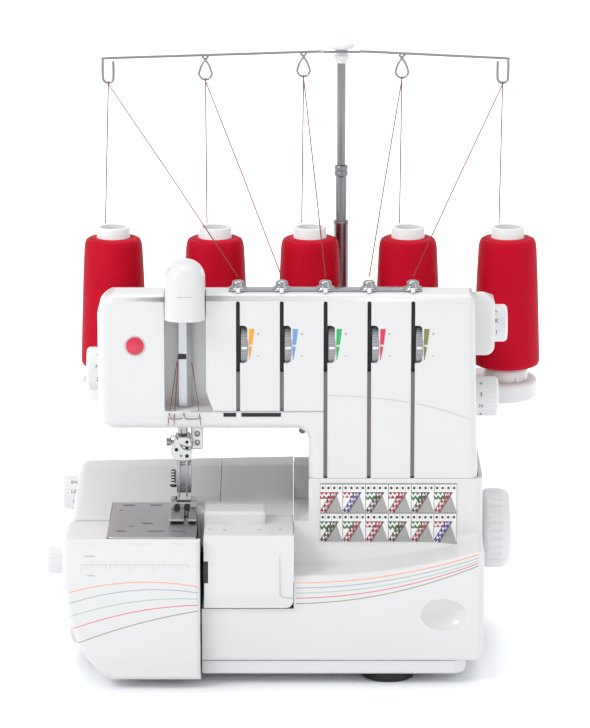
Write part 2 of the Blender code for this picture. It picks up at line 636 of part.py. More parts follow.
clear_scene()
MATERIALS = {
    "white": material("gloss white plastic", (0.86, 0.86, 0.87), 0.3),
    "grey": material("grey plastic", (0.45, 0.45, 0.46), 0.45),
    "black": material("black plastic", (0.03, 0.03, 0.03), 0.5),
    "rubber": material("black rubber", (0.02, 0.02, 0.02), 0.8),
    "steel": material("brushed steel", (0.56, 0.56, 0.57), 0.35, 1.0),
    "chrome": material("chrome", (0.75, 0.75, 0.76), 0.12, 1.0),
    "aluminium": material("satin aluminium", (0.7, 0.7, 0.72), 0.35, 1.0),
    "cast": material("cast aluminium", (0.5, 0.5, 0.5), 0.6, 0.8),
    "thread": material("red thread", (0.6, 0.01, 0.04), 0.7),
}
base_pan()
feet()
main_cover()
rear_cover()
bed_covers()
head_cover()
take_up_cover()
face_plate()
cloth_plate()
looper_cover()
needle_plate()
knives()
feed_dog()
loopers()
needle_bar_group()
presser_group()
presser_lifter()
frame_casting()
drive()
dials()
power_switch()
spool_stand()
thread_cones()
mast()
guide_bar()
threads()
thread_guides()
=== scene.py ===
import math
from functools import partial
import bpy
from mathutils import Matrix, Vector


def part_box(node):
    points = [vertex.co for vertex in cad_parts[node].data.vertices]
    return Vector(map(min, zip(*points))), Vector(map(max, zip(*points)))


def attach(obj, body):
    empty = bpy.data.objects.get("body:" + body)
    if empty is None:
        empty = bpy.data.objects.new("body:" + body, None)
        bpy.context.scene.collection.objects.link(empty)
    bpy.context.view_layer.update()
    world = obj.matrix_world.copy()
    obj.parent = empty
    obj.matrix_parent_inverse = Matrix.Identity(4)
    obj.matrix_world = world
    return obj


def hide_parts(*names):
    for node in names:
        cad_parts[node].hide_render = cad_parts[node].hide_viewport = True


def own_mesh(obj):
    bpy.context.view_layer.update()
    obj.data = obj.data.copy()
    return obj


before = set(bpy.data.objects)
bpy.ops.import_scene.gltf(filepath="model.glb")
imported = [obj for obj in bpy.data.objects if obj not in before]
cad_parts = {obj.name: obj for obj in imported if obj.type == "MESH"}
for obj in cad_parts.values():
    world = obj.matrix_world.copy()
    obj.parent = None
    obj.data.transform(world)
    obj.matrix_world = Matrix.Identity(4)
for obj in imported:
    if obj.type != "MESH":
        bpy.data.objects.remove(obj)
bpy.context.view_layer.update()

from types import SimpleNamespace

import bmesh
import bpy
from mathutils import Matrix, Vector

MM = 0.001

# ------------------------------------------------------------------ camera and studio
# The machine stands on a pale seamless table and is seen straight on, from a little above. A large soft
# light on the left, a weaker one on the right and one overhead leave a soft shadow. Another light reaches
# only the table.

CAMERA_DISTANCE = 2.9
CAMERA_HEIGHT = 0.9
CAMERA_TILT = 13.2

lens = bpy.data.cameras.new("camera")
lens.lens = 189.4
lens.clip_end = 30
camera = bpy.data.objects.new("camera", lens)
camera.location = (0, -CAMERA_DISTANCE, CAMERA_HEIGHT)
camera.rotation_euler = (math.radians(90 - CAMERA_TILT), 0, 0)
bpy.context.scene.collection.objects.link(camera)
bpy.context.scene.camera = camera
bpy.context.scene.view_settings.view_transform = "Standard"


def soft_light(name, place, aim, size, power, tint=(1, 1, 1)):
    lamp = bpy.data.lights.new(name, "AREA")
    lamp.size = size
    lamp.energy = power
    lamp.color = tint
    obj = bpy.data.objects.new(name, lamp)
    obj.location = place
    obj.rotation_euler = (Vector(aim) - Vector(place)).to_track_quat("-Z", "Y").to_euler()
    bpy.context.scene.collection.objects.link(obj)
    return obj


soft_light("key_light", (-1.7, -1.1, 1.9), (0, 0, 0.15), 1.0, 25)
soft_light("fill_light", (2.2, -1.8, 1.2), (0, 0, 0.2), 1.6, 4.5)
soft_light("top_light", (0.1, 0.5, 2.4), (0, 0, 0.2), 1.5, 12)
table_light = soft_light("table_light", (0, 4.5, 3.2), (0, 4.5, 0), 5, 200)

world = bpy.data.worlds.new("studio")
bpy.context.scene.world = world
world.use_nodes = True
world.node_tree.nodes["Background"].inputs["Color"].default_value = (0.96, 0.98, 1, 1)
world.node_tree.nodes["Background"].inputs["Strength"].default_value = 0.87


def nodes_of(material):
    """The material's shader, a maker of nodes and a maker of links."""
    material.use_nodes = True
    tree = material.node_tree
    shader = tree.nodes["Principled BSDF"]

    def node(kind, **sockets):
        made = tree.nodes.new(kind)
        for name, value in sockets.items():
            made.inputs[name.replace("_", " ")].default_value = value
        return made

    return shader, node, tree.links.new


def table_finish():
    material = bpy.data.materials.new("table_white")
    shader, node, link = nodes_of(material)
    noise = node("ShaderNodeTexNoise", Scale=3.0, Detail=2.0)
    ramp = node("ShaderNodeValToRGB")
    ramp.color_ramp.elements[0].color = (0.93, 0.94, 0.96, 1)
    ramp.color_ramp.elements[1].color = (0.95, 0.96, 0.975, 1)
    link(noise.outputs["Fac"], ramp.inputs["Fac"])
    link(ramp.outputs["Color"], shader.inputs["Base Color"])
    shader.inputs["Roughness"].default_value = 0.6
    shader.inputs["Specular IOR Level"].default_value = 0.25
    return material


floor_mesh = bpy.data.meshes.new("table")
floor_mesh.from_pydata([(-6, -6, 0), (6, -6, 0), (6, 9, 0), (-6, 9, 0)], [], [(0, 1, 2, 3)])
floor_mesh.materials.append(table_finish())
table = bpy.data.objects.new("table", floor_mesh)
bpy.context.scene.collection.objects.link(table)
lit_by_table_light = bpy.data.collections.new("lit_by_table_light")
lit_by_table_light.objects.link(table)
table_light.light_linking.receiver_collection = lit_by_table_light


# ------------------------------------------------------------------ base pan and feet
# The pan is one white injection moulding that closes the machine underneath; its outer faces have a fine
# spark texture. Four black rubber feet are pushed into it and carry the machine.


def span(*names):
    """The box of CAD nodes in millimetres: x0, x1, y0, y1, z0, z1."""
    corners = [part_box(name) for name in names]
    low = [min(c[0][i] for c in corners) / MM for i in range(3)]
    high = [max(c[1][i] for c in corners) / MM for i in range(3)]
    return low[0], high[0], low[1], high[1], low[2], high[2]


def rounded(points, steps=8):
    """An outline whose corners (a, b, radius) become arcs."""
    outline = []
    for i, (a, b, *rest) in enumerate(points):
        radius = rest[0] if rest else 0
        corner = Vector((a, b))
        if not radius:
            outline.append(corner)
            continue
        before = (Vector(points[i - 1][:2]) - corner).normalized()
        after = (Vector(points[(i + 1) % len(points)][:2]) - corner).normalized()
        half = before.angle(after) / 2
        centre = corner + (before + after).normalized() * (radius / math.sin(half))
        start = corner + before * (radius / math.tan(half)) - centre
        end = corner + after * (radius / math.tan(half)) - centre
        sweep = start.angle_signed(end)
        outline += [centre + Matrix.Rotation(-sweep * k / steps, 2) @ start for k in range(steps + 1)]
    return outline


def four_corners(left, right, low, high, *radii):
    """The corners of a rectangle, with one radius for all or one for each, from the lower left round."""
    corners = [(left, low), (right, low), (right, high), (left, high)]
    if not radii:
        return corners
    return [(a, b, radii[i % len(radii)]) for i, (a, b) in enumerate(corners)]


def inset(outline, distance):
    """The outline moved inwards, with mitred corners."""
    count = len(outline)
    area = sum(outline[i - 1].x * outline[i].y - outline[i].x * outline[i - 1].y for i in range(count))
    side = 1 if area > 0 else -1
    moved = []
    for i in range(count):
        one = (outline[i] - outline[i - 1]).normalized()
        two = (outline[(i + 1) % count] - outline[i]).normalized()
        n1, n2 = Vector((-one.y, one.x)) * side, Vector((-two.y, two.x)) * side
        moved.append(outline[i] + (n1 + n2) * (distance / max(0.3, 1 + n1.dot(n2))))
    return moved


def place(axis, a, b, along):
    return {"x": (along, a, b), "y": (a, along, b), "z": (a, b, along)}[axis]


def solid(rings, closed=False):
    """A closed skin through rings of equal length, capped at both ends or closed on itself."""
    mesh = bmesh.new()
    verts = [[mesh.verts.new(p) for p in ring] for ring in rings]
    size = len(rings[0])
    for i in range(len(rings) if closed else len(rings) - 1):
        one, two = verts[i], verts[(i + 1) % len(rings)]
        for k in range(size):
            mesh.faces.new((one[k], one[(k + 1) % size], two[(k + 1) % size], two[k]))
    if not closed:
        mesh.faces.new(verts[0])
        mesh.faces.new(verts[-1])
    bmesh.ops.recalc_face_normals(mesh, faces=mesh.faces)
    return mesh


def prism(outline, axis, low, high, rims=(0, 0), steps=5):
    """An outline extruded along an axis, with rounded rims at its low and high ends."""
    outline = [Vector(p[:2]) for p in outline]
    levels = []
    if rims[0]:
        turns = [math.pi / 2 * k / steps for k in range(steps + 1)]
        levels += [(rims[0] * (1 - math.sin(t)), low + rims[0] * (1 - math.cos(t))) for t in turns]
    else:
        levels.append((0, low))
    if rims[1]:
        turns = [math.pi / 2 * k / steps for k in range(steps, -1, -1)]
        levels += [(rims[1] * (1 - math.sin(t)), high - rims[1] * (1 - math.cos(t))) for t in turns]
    else:
        levels.append((0, high))
    rings = []
    for depth, height in levels:
        ring = inset(outline, depth) if depth > 1e-6 else outline
        rings.append([place(axis, p.x, p.y, height) for p in ring])
    return solid(rings)


def block(x, y, z):
    return prism(four_corners(*x, *y), "z", *z)


def turned(profile, axis, centre, steps=48):
    """A closed profile of (radius, height) points, turned about an axis through the centre."""
    mesh = bmesh.new()
    rings = []
    for radius, height in profile:
        turns = [2 * math.pi * k / steps for k in range(steps if radius else 1)]
        rings.append(
            [mesh.verts.new(place(axis, radius * math.cos(t), radius * math.sin(t), height)) for t in turns]
        )
    for i in range(len(rings)):
        one, two = rings[i], rings[(i + 1) % len(rings)]
        if len(one) > 1 or len(two) > 1:
            for k in range(steps):
                n = (k + 1) % steps
                loop = [one[k % len(one)], one[n % len(one)], two[n % len(two)], two[k % len(two)]]
                mesh.faces.new(list(dict.fromkeys(loop)))
    bmesh.ops.translate(mesh, verts=mesh.verts, vec=centre)
    bmesh.ops.recalc_face_normals(mesh, faces=mesh.faces)
    return mesh


def rod(radius, low, high, axis, centre, steps):
    """A plain round bar along an axis, from low to high."""
    return turned([(0, low), (radius, low), (radius, high), (0, high)], axis, centre, steps)


def merged(meshes):
    """Several shapes in one mesh."""
    whole = bmesh.new()
    for mesh in meshes:
        copy = bpy.data.meshes.new("part")
        mesh.to_mesh(copy)
        mesh.free()
        whole.from_mesh(copy)
        bpy.data.meshes.remove(copy)
    return whole


def shape(name, mesh, material=None, angle=38):
    bmesh.ops.scale(mesh, verts=mesh.verts, vec=(MM, MM, MM))
    data = bpy.data.meshes.new(name)
    mesh.to_mesh(data)
    mesh.free()
    if material:
        data.materials.append(material)
    data.shade_smooth()
    data.set_sharp_from_angle(angle=math.radians(angle))
    obj = bpy.data.objects.new(name, data)
    bpy.context.scene.collection.objects.link(obj)
    return obj


def cut(mesh):
    return "DIFFERENCE", mesh


def join(mesh):
    return "UNION", mesh


def keep(mesh):
    return "INTERSECT", mesh


def carve(obj, *changes, angle=38):
    """Makes each cut, join or keep change to obj, and keeps the result as its mesh."""
    for operation, mesh in changes:
        tool = shape("tool", mesh) if isinstance(mesh, bmesh.types.BMesh) else mesh
        step = obj.modifiers.new("step", "BOOLEAN")
        step.operation = operation
        step.solver = "EXACT"
        step.object = tool
        graph = bpy.context.evaluated_depsgraph_get()
        result = bpy.data.meshes.new_from_object(obj.evaluated_get(graph))
        obj.modifiers.clear()
        obj.data = result
        bpy.data.objects.remove(tool)
    tidy = bmesh.new()
    tidy.from_mesh(obj.data)
    bmesh.ops.remove_doubles(tidy, verts=tidy.verts, dist=0.00001)
    bmesh.ops.dissolve_degenerate(tidy, edges=tidy.edges, dist=0.00001)
    tidy.to_mesh(obj.data)
    tidy.free()
    obj.data.shade_smooth()
    obj.data.set_sharp_from_angle(angle=math.radians(angle))
    weighted = obj.modifiers.new("flat faces first", "WEIGHTED_NORMAL")
    weighted.keep_sharp = True
    weighted.weight = 90
    return obj


def fit(obj, body, slot, *stands_for):
    """Fixes a piece to its body and hides the solids that it stands for; the finish slot is not used."""
    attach(obj, body)
    if stands_for:
        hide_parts(*stands_for)
    return obj


def moulded(name, colour, roughness, grain=900.0, relief=0.02, coat=0.0, shade=0.012):
    """Injection moulded plastic: faint colour drift, uneven gloss and a fine mould texture."""
    material = bpy.data.materials.new(name)
    shader, node, link = nodes_of(material)
    where = node("ShaderNodeTexCoord")
    drift = node("ShaderNodeTexNoise", Scale=14.0, Detail=3.0)
    ramp = node("ShaderNodeValToRGB")
    ramp.color_ramp.elements[0].position = 0.3
    ramp.color_ramp.elements[1].position = 0.7
    ramp.color_ramp.elements[0].color = (*[max(0, c - shade) for c in colour], 1)
    ramp.color_ramp.elements[1].color = (*colour, 1)
    gloss = node("ShaderNodeMapRange", To_Min=roughness - 0.04, To_Max=roughness + 0.05)
    fine = node("ShaderNodeTexNoise", Scale=grain, Detail=2.0)
    bump = node("ShaderNodeBump", Strength=relief, Distance=0.0004)
    link(where.outputs["Object"], drift.inputs["Vector"])
    link(where.outputs["Object"], fine.inputs["Vector"])
    link(drift.outputs["Fac"], ramp.inputs["Fac"])
    link(drift.outputs["Fac"], gloss.inputs["Value"])
    link(ramp.outputs["Color"], shader.inputs["Base Color"])
    link(gloss.outputs["Result"], shader.inputs["Roughness"])
    link(fine.outputs["Fac"], bump.inputs["Height"])
    link(bump.outputs["Normal"], shader.inputs["Normal"])
    shader.inputs["Coat Weight"].default_value = coat
    shader.inputs["Coat Roughness"].default_value = 0.15
    return material


BASE_WHITE = moulded("base_white", (0.72, 0.72, 0.725), 0.5, grain=1400.0, relief=0.12)
RUBBER = moulded("foot_rubber", (0.022, 0.022, 0.024), 0.75, grain=700.0, relief=0.3, shade=0.008)

x0, x1, y0, y1, z0, z1 = span("base_pan")
step_x, step_y = -70.3, -84
pan_outline = rounded(
    [(step_x, y0), (x1, y0, 12), (x1, y1, 12), (x0, y1, 12), (x0, step_y, 8), (step_x, step_y)]
)
pan = shape("base_pan_moulding", prism(pan_outline, "z", z0, z1, rims=(2.5, 0)), BASE_WHITE)
pan_parts = [cut(prism(inset(pan_outline, 2.6), "z", z0 + 3, z1 + 5))]
pan_parts += [cut(block((x, x + 5), (-20, 40), (z0 - 1, z0 + 1.2))) for x in range(-60, 60, 12)]
fit(carve(pan, *pan_parts), "machine", "base_white", "base_pan")

for corner in ("front_left", "front_right", "rear_left", "rear_right"):
    x0, x1, y0, y1, z0, z1 = span("foot_" + corner)
    radius = (x1 - x0) / 2
    profile = [
        (0, 0.3), (radius - 6, 0.3), (radius - 5, 0), (radius - 2, 0), (radius - 0.8, 0.5), (radius, 2.2)
    ]
    profile += [(radius, z1 - 1), (radius - 1, z1), (0, z1)]
    foot = shape("rubber_foot_" + corner, turned(profile, "z", ((x0 + x1) / 2, (y0 + y1) / 2, 0)), RUBBER)
    fit(foot, "machine", "rubber", "foot_" + corner)


# ------------------------------------------------------------------ frame, motor and drive
# A die-cast aluminium C-frame carries the shafts. The black motor at its foot turns the main shaft through
# a rubber belt, and the white handwheel is pressed on the shaft's right end, outside the cover.


def metal(name, colour, roughness, stretch=(1, 1, 1), grain=220.0, relief=0.05, spread=0.08, metallic=1.0):
    """Bare or plated metal: fine scratches along one direction, with gloss that varies along them."""
    material = bpy.data.materials.new(name)
    shader, node, link = nodes_of(material)
    where = node("ShaderNodeTexCoord")
    turn = node("ShaderNodeMapping", Scale=stretch)
    lines = node("ShaderNodeTexNoise", Scale=grain, Detail=4.0)
    gloss = node("ShaderNodeMapRange", To_Min=max(0.02, roughness - spread), To_Max=roughness + spread)
    ramp = node("ShaderNodeValToRGB")
    ramp.color_ramp.elements[0].color = (*[c * 0.86 for c in colour], 1)
    ramp.color_ramp.elements[1].color = (*colour, 1)
    bump = node("ShaderNodeBump", Strength=relief, Distance=0.0003)
    link(where.outputs["Object"], turn.inputs["Vector"])
    link(turn.outputs["Vector"], lines.inputs["Vector"])
    link(lines.outputs["Fac"], gloss.inputs["Value"])
    link(lines.outputs["Fac"], ramp.inputs["Fac"])
    link(lines.outputs["Fac"], bump.inputs["Height"])
    link(ramp.outputs["Color"], shader.inputs["Base Color"])
    link(gloss.outputs["Result"], shader.inputs["Roughness"])
    link(bump.outputs["Normal"], shader.inputs["Normal"])
    shader.inputs["Metallic"].default_value = metallic
    return material


def finish(material, *names):
    """Gives CAD nodes that keep their own shape a finish."""
    for name in names:
        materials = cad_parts[name].data.materials
        if not materials:
            materials.append(material)
        for i in range(len(materials)):
            materials[i] = material


CHROME = metal("chrome_plate", (0.42, 0.42, 0.435), 0.18, grain=60.0, relief=0.02, spread=0.05)
GROUND_STEEL = metal("ground_steel", (0.56, 0.56, 0.57), 0.34, stretch=(1, 14, 1), grain=160.0)
finish(
    metal("cast_aluminium", (0.42, 0.42, 0.43), 0.6, grain=500.0, relief=0.4, metallic=0.9), "frame_casting"
)
finish(metal("motor_black", (0.02, 0.02, 0.022), 0.42, grain=300.0, relief=0.1, metallic=0.0), "motor")
finish(GROUND_STEEL, "main_shaft", "motor_pulley")
finish(RUBBER, "drive_belt")

DIAL_WHITE = moulded("dial_white", (0.76, 0.76, 0.765), 0.32, grain=1200.0, relief=0.03, coat=0.15)
x0, x1, y0, y1, z0, z1 = span("handwheel")
radius = (y1 - y0) / 2
profile = [(0, x0), (radius - 8, x0), (radius - 3, x0 + 1.5), (radius - 0.6, x0 + 4.5), (radius, x0 + 8)]
profile += [
    (radius, x0 + 15), (radius - 0.8, x0 + 19), (radius - 3, x1 - 1.2), (radius - 6, x1),
    (radius - 8.5, x1 - 0.8),
]
profile += [(radius - 10, x1 - 4), (radius - 13, x1 - 6), (7, x1 - 6), (6, x1 - 3), (4, x1 - 2), (0, x1 - 2)]
centre = Vector((0, (y0 + y1) / 2, (z0 + z1) / 2))
wheel = shape("handwheel_turned", turned(profile, "x", centre, 64), DIAL_WHITE)
grips = []
grip_reach = radius + 0.9
for k in range(30):
    turn = 2 * math.pi * k / 30
    at = (x0 + 5.5, centre.y + grip_reach * math.cos(turn), centre.z + grip_reach * math.sin(turn))
    grips.append(rod(1.7, 0, 11, "x", at, 10))
fit(carve(wheel, *[cut(grip) for grip in grips]), "drive_shaft", "dial_white", "handwheel")


# ------------------------------------------------------------------ main cover
# One white moulding covers the right of the base and the foot of the column. Its lower front swells out
# below a ledge that rises to the right; five fine lines are printed under the ledge, and the sheet of
# stitch settings is glued above.

PRINTED_BEFORE = -0.115
MATHS_KINDS = {
    "times": "MULTIPLY", "plus": "ADD", "minus": "SUBTRACT", "times_plus": "MULTIPLY_ADD", "part": "FRACT",
    "above": "GREATER_THAN", "below": "LESS_THAN", "size": "ABSOLUTE", "floor": "FLOOR", "zigzag": "PINGPONG",
    "sine": "SINE", "highest": "MAXIMUM",
}


def maths_of(node, link):
    """Makers of maths nodes, one for each kind, from numbers and sockets."""

    def maths(kind, *values):
        step = node("ShaderNodeMath")
        step.operation = kind
        for socket, value in zip(step.inputs, values):
            if isinstance(value, (int, float)):
                socket.default_value = value
            else:
                link(value, socket)
        return step.outputs[0]

    return SimpleNamespace(**{name: partial(maths, kind) for name, kind in MATHS_KINDS.items()})


def printed_lines(material, colours, stations, heights, width=0.36):
    """Prints lines across a moulding, each a parabola through its heights at three stations along X."""
    shader, node, link = nodes_of(material)
    where = node("ShaderNodeTexCoord")
    split = node("ShaderNodeSeparateXYZ")
    link(where.outputs["Object"], split.inputs["Vector"])
    calc = maths_of(node, link)
    along, up, depth = split.outputs["X"], split.outputs["Z"], split.outputs["Y"]
    colour = shader.inputs["Base Color"].links[0].from_socket
    xa, xb, xc = [s * MM for s in stations]
    inside = calc.times(calc.above(along, min(xa, xc)), calc.below(along, max(xa, xc)))
    inside = calc.times(inside, calc.below(depth, PRINTED_BEFORE))
    for tint, (a, b, c) in zip(colours, heights):
        bend = ((c - b) / (xc - xb) - (b - a) / (xb - xa)) / (xc - xa) * MM
        slope = (b - a) * MM / (xb - xa) - bend * (xa + xb)
        level = a * MM - slope * xa - bend * xa * xa
        line = calc.plus(calc.times(along, calc.times_plus(along, bend, slope)), level)
        distance = calc.size(calc.minus(up, line))
        edge = node(
            "ShaderNodeMapRange", From_Min=width * MM * 0.7, From_Max=width * MM * 1.3, To_Min=1.0,
            To_Max=0.0,
        )
        link(distance, edge.inputs["Value"])
        mix = node("ShaderNodeMix")
        mix.data_type = "RGBA"
        link(calc.times(edge.outputs["Result"], inside), mix.inputs["Factor"])
        link(colour, mix.inputs["A"])
        mix.inputs["B"].default_value = (*tint, 1)
        colour = mix.outputs["Result"]
    link(colour, shader.inputs["Base Color"])
    return material


LINE_COLOURS = [
    (0.85, 0.33, 0.16), (0.33, 0.38, 0.46), (0.36, 0.50, 0.42), (0.70, 0.10, 0.16), (0.26, 0.22, 0.12)
]
SHELL = dict(colour=(0.70, 0.694, 0.685), roughness=0.3, grain=1500.0, relief=0.025, coat=0.2)
SHELL_WHITE = moulded("shell_white", **SHELL)
main_white = moulded("main_cover_white", **SHELL)
main_heights = [(81, 86.5, 103), (77, 83, 100.4), (73, 79.5, 98), (69, 76.2, 96.3), (64.8, 72.6, 94.3)]
printed_lines(main_white, LINE_COLOURS, (1, 70, 138), main_heights)

x0, x1, y0, y1, z0, z1 = span("main_cover")
body_left, column_left, bed_height, hump_height = -1, 10.5, 118, 130


def ledge_height(x):
    return 86 + 20 * max(0, (x - body_left) / (x1 - body_left)) ** 2.2


def drawn_in(points, depth, steps=6):
    """The rounded outline through corners (a, b, radius), moved inwards by depth with true roundings."""
    sharp = [Vector(p[:2]) for p in points]
    moved = inset(sharp, depth) if depth else sharp
    area = sum(sharp[i - 1].x * sharp[i].y - sharp[i].x * sharp[i - 1].y for i in range(len(sharp)))
    corners = []
    for i, point in enumerate(points):
        radius = point[2] if len(point) > 2 else 0
        before, after = sharp[i] - sharp[i - 1], sharp[(i + 1) % len(sharp)] - sharp[i]
        outward = (before.x * after.y - before.y * after.x) * area > 0
        if radius:
            radius = max(0.25, radius - depth) if outward else radius + depth
        corners.append((moved[i].x, moved[i].y, radius))
    return rounded(corners, steps)


def main_profile(x, depth):
    """The cover's side outline at X, moved inwards by depth."""
    ledge = ledge_height(x)
    rise = 15 - 11 * min(1, max(0, (x - body_left) / (x1 - body_left)))
    front = [
        (y1, z0), (y0 + 1, z0, 3), (y0, 45, 60), (y0, ledge, 4), (-97, ledge + 1.5, 8),
        (-90, ledge + rise, 0.7 * rise),
    ]
    return [(x, p.x, p.y) for p in drawn_in(front + [(-90, z1 + 9), (y1, z1 + 9)], depth)]


def main_block(wall):
    """The cover as a loft along X whose right end is rounded over, or the hollow inside its wall."""
    rim = 7
    stations = [(body_left + (x1 - rim - body_left) * k / 24, 0) for k in range(25)]
    turns = [math.pi / 12 * k for k in range(1, 6)]
    stations += [(x1 - rim + rim * math.sin(a), rim * (1 - math.cos(a))) for a in turns]
    rings = [main_profile(x - wall, depth + wall) for x, depth in stations]
    return solid(rings)


apron_left = step_x
apron = rounded([(y0 + 1, z0, 3), (y0, 45, 60), (y0, 60.7), (-90, 60.7), (-90, z0)], 6)
above_bed = [(-140, bed_height), (-25, bed_height, 30), (30, hump_height, 40), (80, hump_height, 24)]
above_bed += [(80, 90), (120, 90), (120, 170), (-140, 170)]
cover = shape("main_cover_moulding", main_block(0), main_white)
cover = carve(
    cover,
    join(prism(apron, "x", apron_left, body_left + 0.5)),
    cut(block((-10, 160), (-140, 90), (z1, z1 + 20))),
    cut(main_block(3)),
    cut(block((-5, 20), (-60, y1 - 6), (z0 - 3, bed_height - 3))),
    join(block((column_left - 2, column_left + 3), (-89.5, y1 - 3), (bed_height - 3, z1))),
    join(block((body_left + 0.3, column_left + 1), (-89.5, y1 - 3), (bed_height - 3, bed_height + 14))),
    cut(prism(rounded(above_bed, 10), "x", body_left - 5, column_left)),
    cut(block((apron_left + 3, 15), (y0 + 3, -80), (z0 - 3, 57.7))),
    cut(block((-20, x1 - 3), (-86, y1 + 5), (z0 - 3, z0 + 4))),
    cut(rod(8, -8, 8, "x", (x1 - 2, 10, 85), 32)),
    cut(block((135, 150), (46.5, 73.5), (28.5, 45.5))),
)
turns = [2 * math.pi * k / 32 for k in range(32)]
backing = [(112 + 25 * math.cos(a), 56 + 19 * math.sin(a)) for a in turns]
dimple = bmesh.new()
bmesh.ops.create_uvsphere(dimple, u_segments=48, v_segments=32, radius=1)
bmesh.ops.scale(dimple, verts=dimple.verts, vec=(19.2, 14, 13.8))
bmesh.ops.translate(dimple, verts=dimple.verts, vec=(112, y0 - 6, 56))
cover = carve(cover, join(prism(backing, "y", y0 + 1.5, y0 + 11)), cut(dimple), angle=30)
fit(cover, "machine", "shell_white", "main_cover")

CHART = (19, 123, 102, 148)


def chart_finish():
    """The printed sheet: two rows of six cells with a strip of dots over a hatched stitch in each."""
    material = bpy.data.materials.new("stitch_chart_print")
    shader, node, link = nodes_of(material)
    calc = maths_of(node, link)

    def paint(mask, over, tint):
        mix = node("ShaderNodeMix")
        mix.data_type = "RGBA"
        link(mask, mix.inputs["Factor"])
        link(over, mix.inputs["A"])
        mix.inputs["B"].default_value = (*tint, 1)
        return mix.outputs["Result"]

    where = node("ShaderNodeTexCoord")
    split = node("ShaderNodeSeparateXYZ")
    link(where.outputs["Object"], split.inputs["Vector"])
    columns, rows = 6, 2
    left, right, low, high = [value * MM for value in CHART]
    across = calc.times(calc.minus(split.outputs["X"], left), columns / (right - left))
    up = calc.times(calc.minus(split.outputs["Z"], low), rows / (high - low))
    u, v = calc.part(across), calc.part(up)
    paper = node("ShaderNodeTexNoise", Scale=400.0, Detail=2.0)
    ramp = node("ShaderNodeValToRGB")
    ramp.color_ramp.elements[0].color = (0.76, 0.75, 0.74, 1)
    ramp.color_ramp.elements[1].color = (0.84, 0.83, 0.82, 1)
    link(paper.outputs["Fac"], ramp.inputs["Fac"])
    mood = calc.part(calc.times_plus(calc.floor(across), 0.37, calc.times(calc.floor(up), 0.53)))
    picture = calc.below(v, 0.7)
    lean = calc.minus(u, calc.times_plus(v, 0.8, 0.14))
    fold = calc.times(calc.above(lean, 0.0), calc.below(calc.times_plus(v, 0.45, u), 1.0))
    colour = paint(calc.times(picture, fold), ramp.outputs["Color"], (0.36, 0.35, 0.34))
    wave = calc.zigzag(calc.times(u, 5.5), 0.5)
    top_band = calc.times(picture, calc.above(v, calc.times_plus(mood, 0.12, 0.40)))
    top_band = calc.times(top_band, calc.below(u, 0.62))
    stitches = calc.above(calc.part(calc.times_plus(v, 5.0, wave)), 0.45)
    stitches = calc.times(top_band, stitches)
    colour = paint(stitches, colour, (0.05, 0.16, 0.05))
    colour = paint(calc.times(stitches, calc.above(mood, 0.5)), colour, (0.36, 0.02, 0.04))
    band = calc.times(picture, calc.below(calc.size(calc.plus(lean, 0.03)), 0.16))
    rung = calc.part(calc.times_plus(v, 6.5, calc.zigzag(calc.times(lean, 7.0), 0.5)))
    rungs = calc.times(band, calc.above(rung, 0.42))
    colour = paint(rungs, colour, (0.36, 0.03, 0.05))
    colour = paint(calc.times(rungs, calc.above(mood, 0.8)), colour, (0.07, 0.06, 0.30))
    colour = paint(calc.times(rungs, calc.below(mood, 0.3)), colour, (0.10, 0.05, 0.04))
    rim = calc.above(calc.size(calc.plus(lean, 0.03)), 0.12)
    colour = paint(calc.times(band, rim), colour, (0.05, 0.03, 0.04))
    strip = calc.times(calc.above(v, 0.74), calc.below(v, 0.94))
    dot_u = calc.minus(calc.part(calc.times(u, 4.0)), 0.5)
    dot_v = calc.times(calc.minus(v, 0.84), 5.0)
    reach = calc.plus(calc.times(dot_u, dot_u), calc.times(dot_v, dot_v))
    dots = calc.times(strip, calc.below(reach, 0.06))
    colour = paint(dots, colour, (0.10, 0.02, 0.03))
    colour = paint(calc.times(dots, calc.above(u, 0.5)), colour, (0.03, 0.10, 0.05))
    box_u = calc.above(calc.size(dot_u), 0.46)
    colour = paint(calc.times(calc.times(strip, box_u), 0.5), colour, (0.08, 0.08, 0.08))
    edge_u = calc.above(calc.size(calc.minus(u, 0.5)), 0.485)
    edge_v = calc.above(calc.size(calc.minus(v, 0.72)), 0.235)
    edge_v = calc.times(edge_v, calc.above(v, 0.7))
    colour = paint(calc.times(calc.highest(edge_u, edge_v), 0.75), colour, (0.08, 0.07, 0.07))
    link(colour, shader.inputs["Base Color"])
    shader.inputs["Roughness"].default_value = 0.38
    return material


